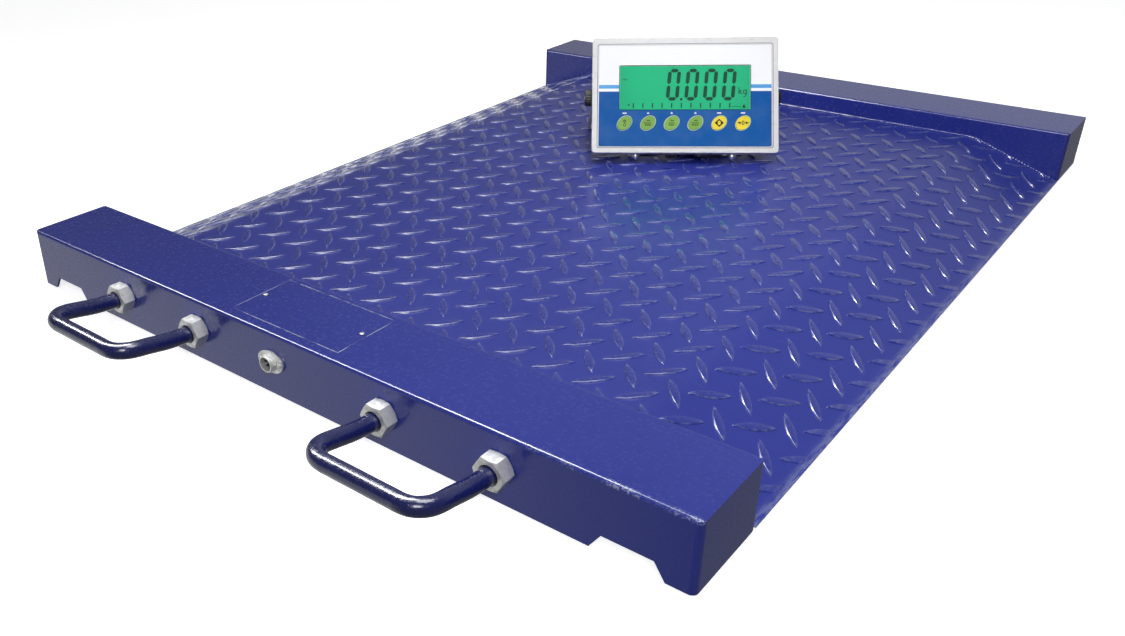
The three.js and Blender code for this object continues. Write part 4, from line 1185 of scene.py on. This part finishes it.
under = {"depth": 0.018, "up": 0.0057, "domes": (-0.067, 0.0699), "glands": (-0.0178, 0.0232)}


def underCase(x):
    return faceFrame @ at(x, under["depth"], under["up"]) @ turned(180, "X")


h = np.linspace(0, 1, 12)
domeProfile = np.array([(0, 0), (0.0073, 0), (0.0075, 0.0003), (0.0075, 0.0027), (0.0072, 0.0031),
                        (0.0064, 0.0034),
                        *np.stack([0.0062 * np.sqrt(1 - h ** 2.6), 0.0050 + 0.0079 * h], 1)])
for side, x in zip(("left", "right"), under["domes"]):
    newPiece("stand_dome_" + side, lathe(domeProfile, 48, underCase(x)), brightSteel, "head",
             ["bottom_dome_" + side])
glandProfile = [(0, 0), (0.0075, 0), (0.0076, 0.0002), (0.0076, 0.0033), (0.0073, 0.0036), (0.0065, 0.0038),
                (0.0064, 0.0068), (0.0060, 0.0074), (0.0050, 0.0083), (0.0040, 0.0084), (0.0030, 0.0080),
                (0, 0.0080)]


def glandFlats(angle, radius, height):
    # spanner flats on the flange and fine ribs on the cap
    flats = radius * (np.cos(np.pi / 6) / np.cos(angle % (np.pi / 3) - np.pi / 6) - 1) * (radius > 0.0072)
    ribs = 0.0003 * (np.cos(angle * 20) - 1) * ((radius > 0.0058) & (radius < 0.0068))
    return flats + ribs


plugged = lathe(glandProfile, 120, underCase(under["glands"][0]), glandFlats)
newPiece("gland_plug", plugged, blackPlastic, "head", ["gland_blank"])
refined("gland_lead", blackPlastic, 0.0004, flat=2)

caseScrews = {"across": 0.104, "up": (0.052, 0.136), "depth": 0.0601, "head": 0.0035, "rise": 0.0006}
backScrews = []
for sx in (-1, 1):
    for up in caseScrews["up"]:
        place = faceFrame @ at(sx * caseScrews["across"], caseScrews["depth"] - caseScrews["rise"], up)
        backScrews.append(panScrew(caseScrews["head"], caseScrews["rise"], place @ turned(-90, "X")))
newPiece("case_screws", backScrews, zinc, "head", sharp=60)
print("indicator made")

# ---- CAD nodes that stay as they are
keptFinish = {
    "deck_rib_left": greyPaint,
    "deck_rib_centre": greyPaint,
    "deck_rib_right": greyPaint,
    "junction_box": blackPlastic,
    "summing_board": greenBoard,
    "lcd_window": glass,
    "lcd_module": panelGreen,
    "keypad_board": greenBoard,
    "main_board": greenBoard,
    "battery": blackPlastic,
}
for node, material in keptFinish.items():
    nodes[node].data.materials.clear()
    nodes[node].data.materials.append(material)

# ---- floor and light
floorLook = {"size": 14.0, "color": (0.90, 0.90, 0.90), "glow": 0.80}
floorMesh = bpy.data.meshes.new("floor")
half = floorLook["size"] / 2
corners = [(-half, -half, 0), (half, -half, 0), (half, half, 0), (-half, half, 0)]
floorMesh.from_pydata(corners, [], [(0, 1, 2, 3)])
floor = bpy.data.objects.new("floor", floorMesh)
scene.collection.objects.link(floor)
floorGraph = Graph("pale floor", floorLook["color"], 0.9, Specular_IOR_Level=0.0)
floorGraph.put(floorGraph.shader.inputs["Base Color"],
               floorGraph.mix(floorGraph.noise(3.0), floorLook["color"], (0.91, 0.91, 0.91)))
floorGraph.shader.inputs["Emission Color"].default_value = (1, 1, 1, 1)
floorGraph.shader.inputs["Emission Strength"].default_value = floorLook["glow"]
floorMesh.materials.append(floorGraph.material)
floor.visible_diffuse = False
floor.visible_glossy = False

# two softboxes that only the gloss sees give the long highlights on folds and lugs; the face light is for
# the print alone, and leaves no glare on it
lights = {
    "highlight": {"place": (-0.75, -0.05, 2.0), "aim": (0.0, 0.0, 0.0), "size": (0.9, 0.6), "power": 36.0,
                  "spread": 180, "seenBy": "gloss"},
    "strip": {"place": (-1.20, -0.65, 1.55), "aim": (0.0, -0.5, 0.07), "size": (0.35, 1.3), "power": 40.0,
              "spread": 180, "seenBy": "gloss"},
    "main": {"place": (0.35, -0.22, 1.55), "aim": (0.25, -0.12, 0.0), "size": (0.8, 0.8), "power": 8.0,
             "spread": 120, "seenBy": "all"},
    "front": {"place": (1.2, -1.9, 1.5), "aim": (0.1, 0.2, 0.1), "size": (0.8, 0.8), "power": 19.0,
              "spread": 180, "seenBy": "all"},
    "face": {"place": (0.72, -0.72, 0.82), "aim": (0.0, 0.22, 0.135), "size": (0.10, 0.10), "power": 0.10,
             "spread": 30, "seenBy": "diffuse"},
}
for name, setup in lights.items():
    lamp = bpy.data.lights.new(name, "AREA")
    lamp.shape = "RECTANGLE"
    lamp.size, lamp.size_y = setup["size"]
    lamp.energy = setup["power"]
    lamp.spread = math.radians(setup["spread"])
    shine = bpy.data.objects.new(name, lamp)
    scene.collection.objects.link(shine)
    shine.location = setup["place"]
    shine.rotation_euler = (Vector(setup["aim"]) - Vector(setup["place"])).to_track_quat("-Z", "Y").to_euler()
    shine.visible_diffuse = setup["seenBy"] != "gloss"
    shine.visible_glossy = setup["seenBy"] != "diffuse"

sky = {"above": 0.11, "farAbove": 0.45, "below": 0.16, "leftBelow": 0.75, "tint": (0.97, 0.98, 1.0)}


def studioWorld():
    # an even bright backdrop to the camera; to everything else dim, brighter above towards the far side and
    # below towards the left, as off a pale floor, the two halves meeting softly at the horizon
    world = bpy.data.worlds.new("studio")
    scene.world = world
    world.use_nodes = True
    tree = world.node_tree

    def span(value, low, high, bottom, top):
        made = tree.nodes.new("ShaderNodeMapRange")
        made.interpolation_type = "SMOOTHSTEP"
        tree.links.new(value, made.inputs["Value"])
        for key, number in (("From Min", low), ("From Max", high), ("To Min", bottom), ("To Max", top)):
            if isinstance(number, bpy.types.NodeSocket):
                tree.links.new(number, made.inputs[key])
            else:
                made.inputs[key].default_value = number
        return made.outputs["Result"]

    way = tree.nodes.new("ShaderNodeSeparateXYZ")
    tree.links.new(tree.nodes.new("ShaderNodeTexCoord").outputs["Generated"], way.inputs[0])
    above = span(way.outputs["Y"], 0.5, 1.0, sky["above"], sky["farAbove"])
    below = span(way.outputs["X"], -0.2, -0.7, sky["below"], sky["leftBelow"])
    both = span(way.outputs["Z"], -0.08, 0.08, below, above)
    seen = span(tree.nodes.new("ShaderNodeLightPath").outputs["Is Camera Ray"], 0.0, 1.0, both, 1.0)
    background = tree.nodes["Background"]
    background.inputs["Color"].default_value = (*sky["tint"], 1)
    tree.links.new(seen, background.inputs["Strength"])


studioWorld()
print("floor and lights made")
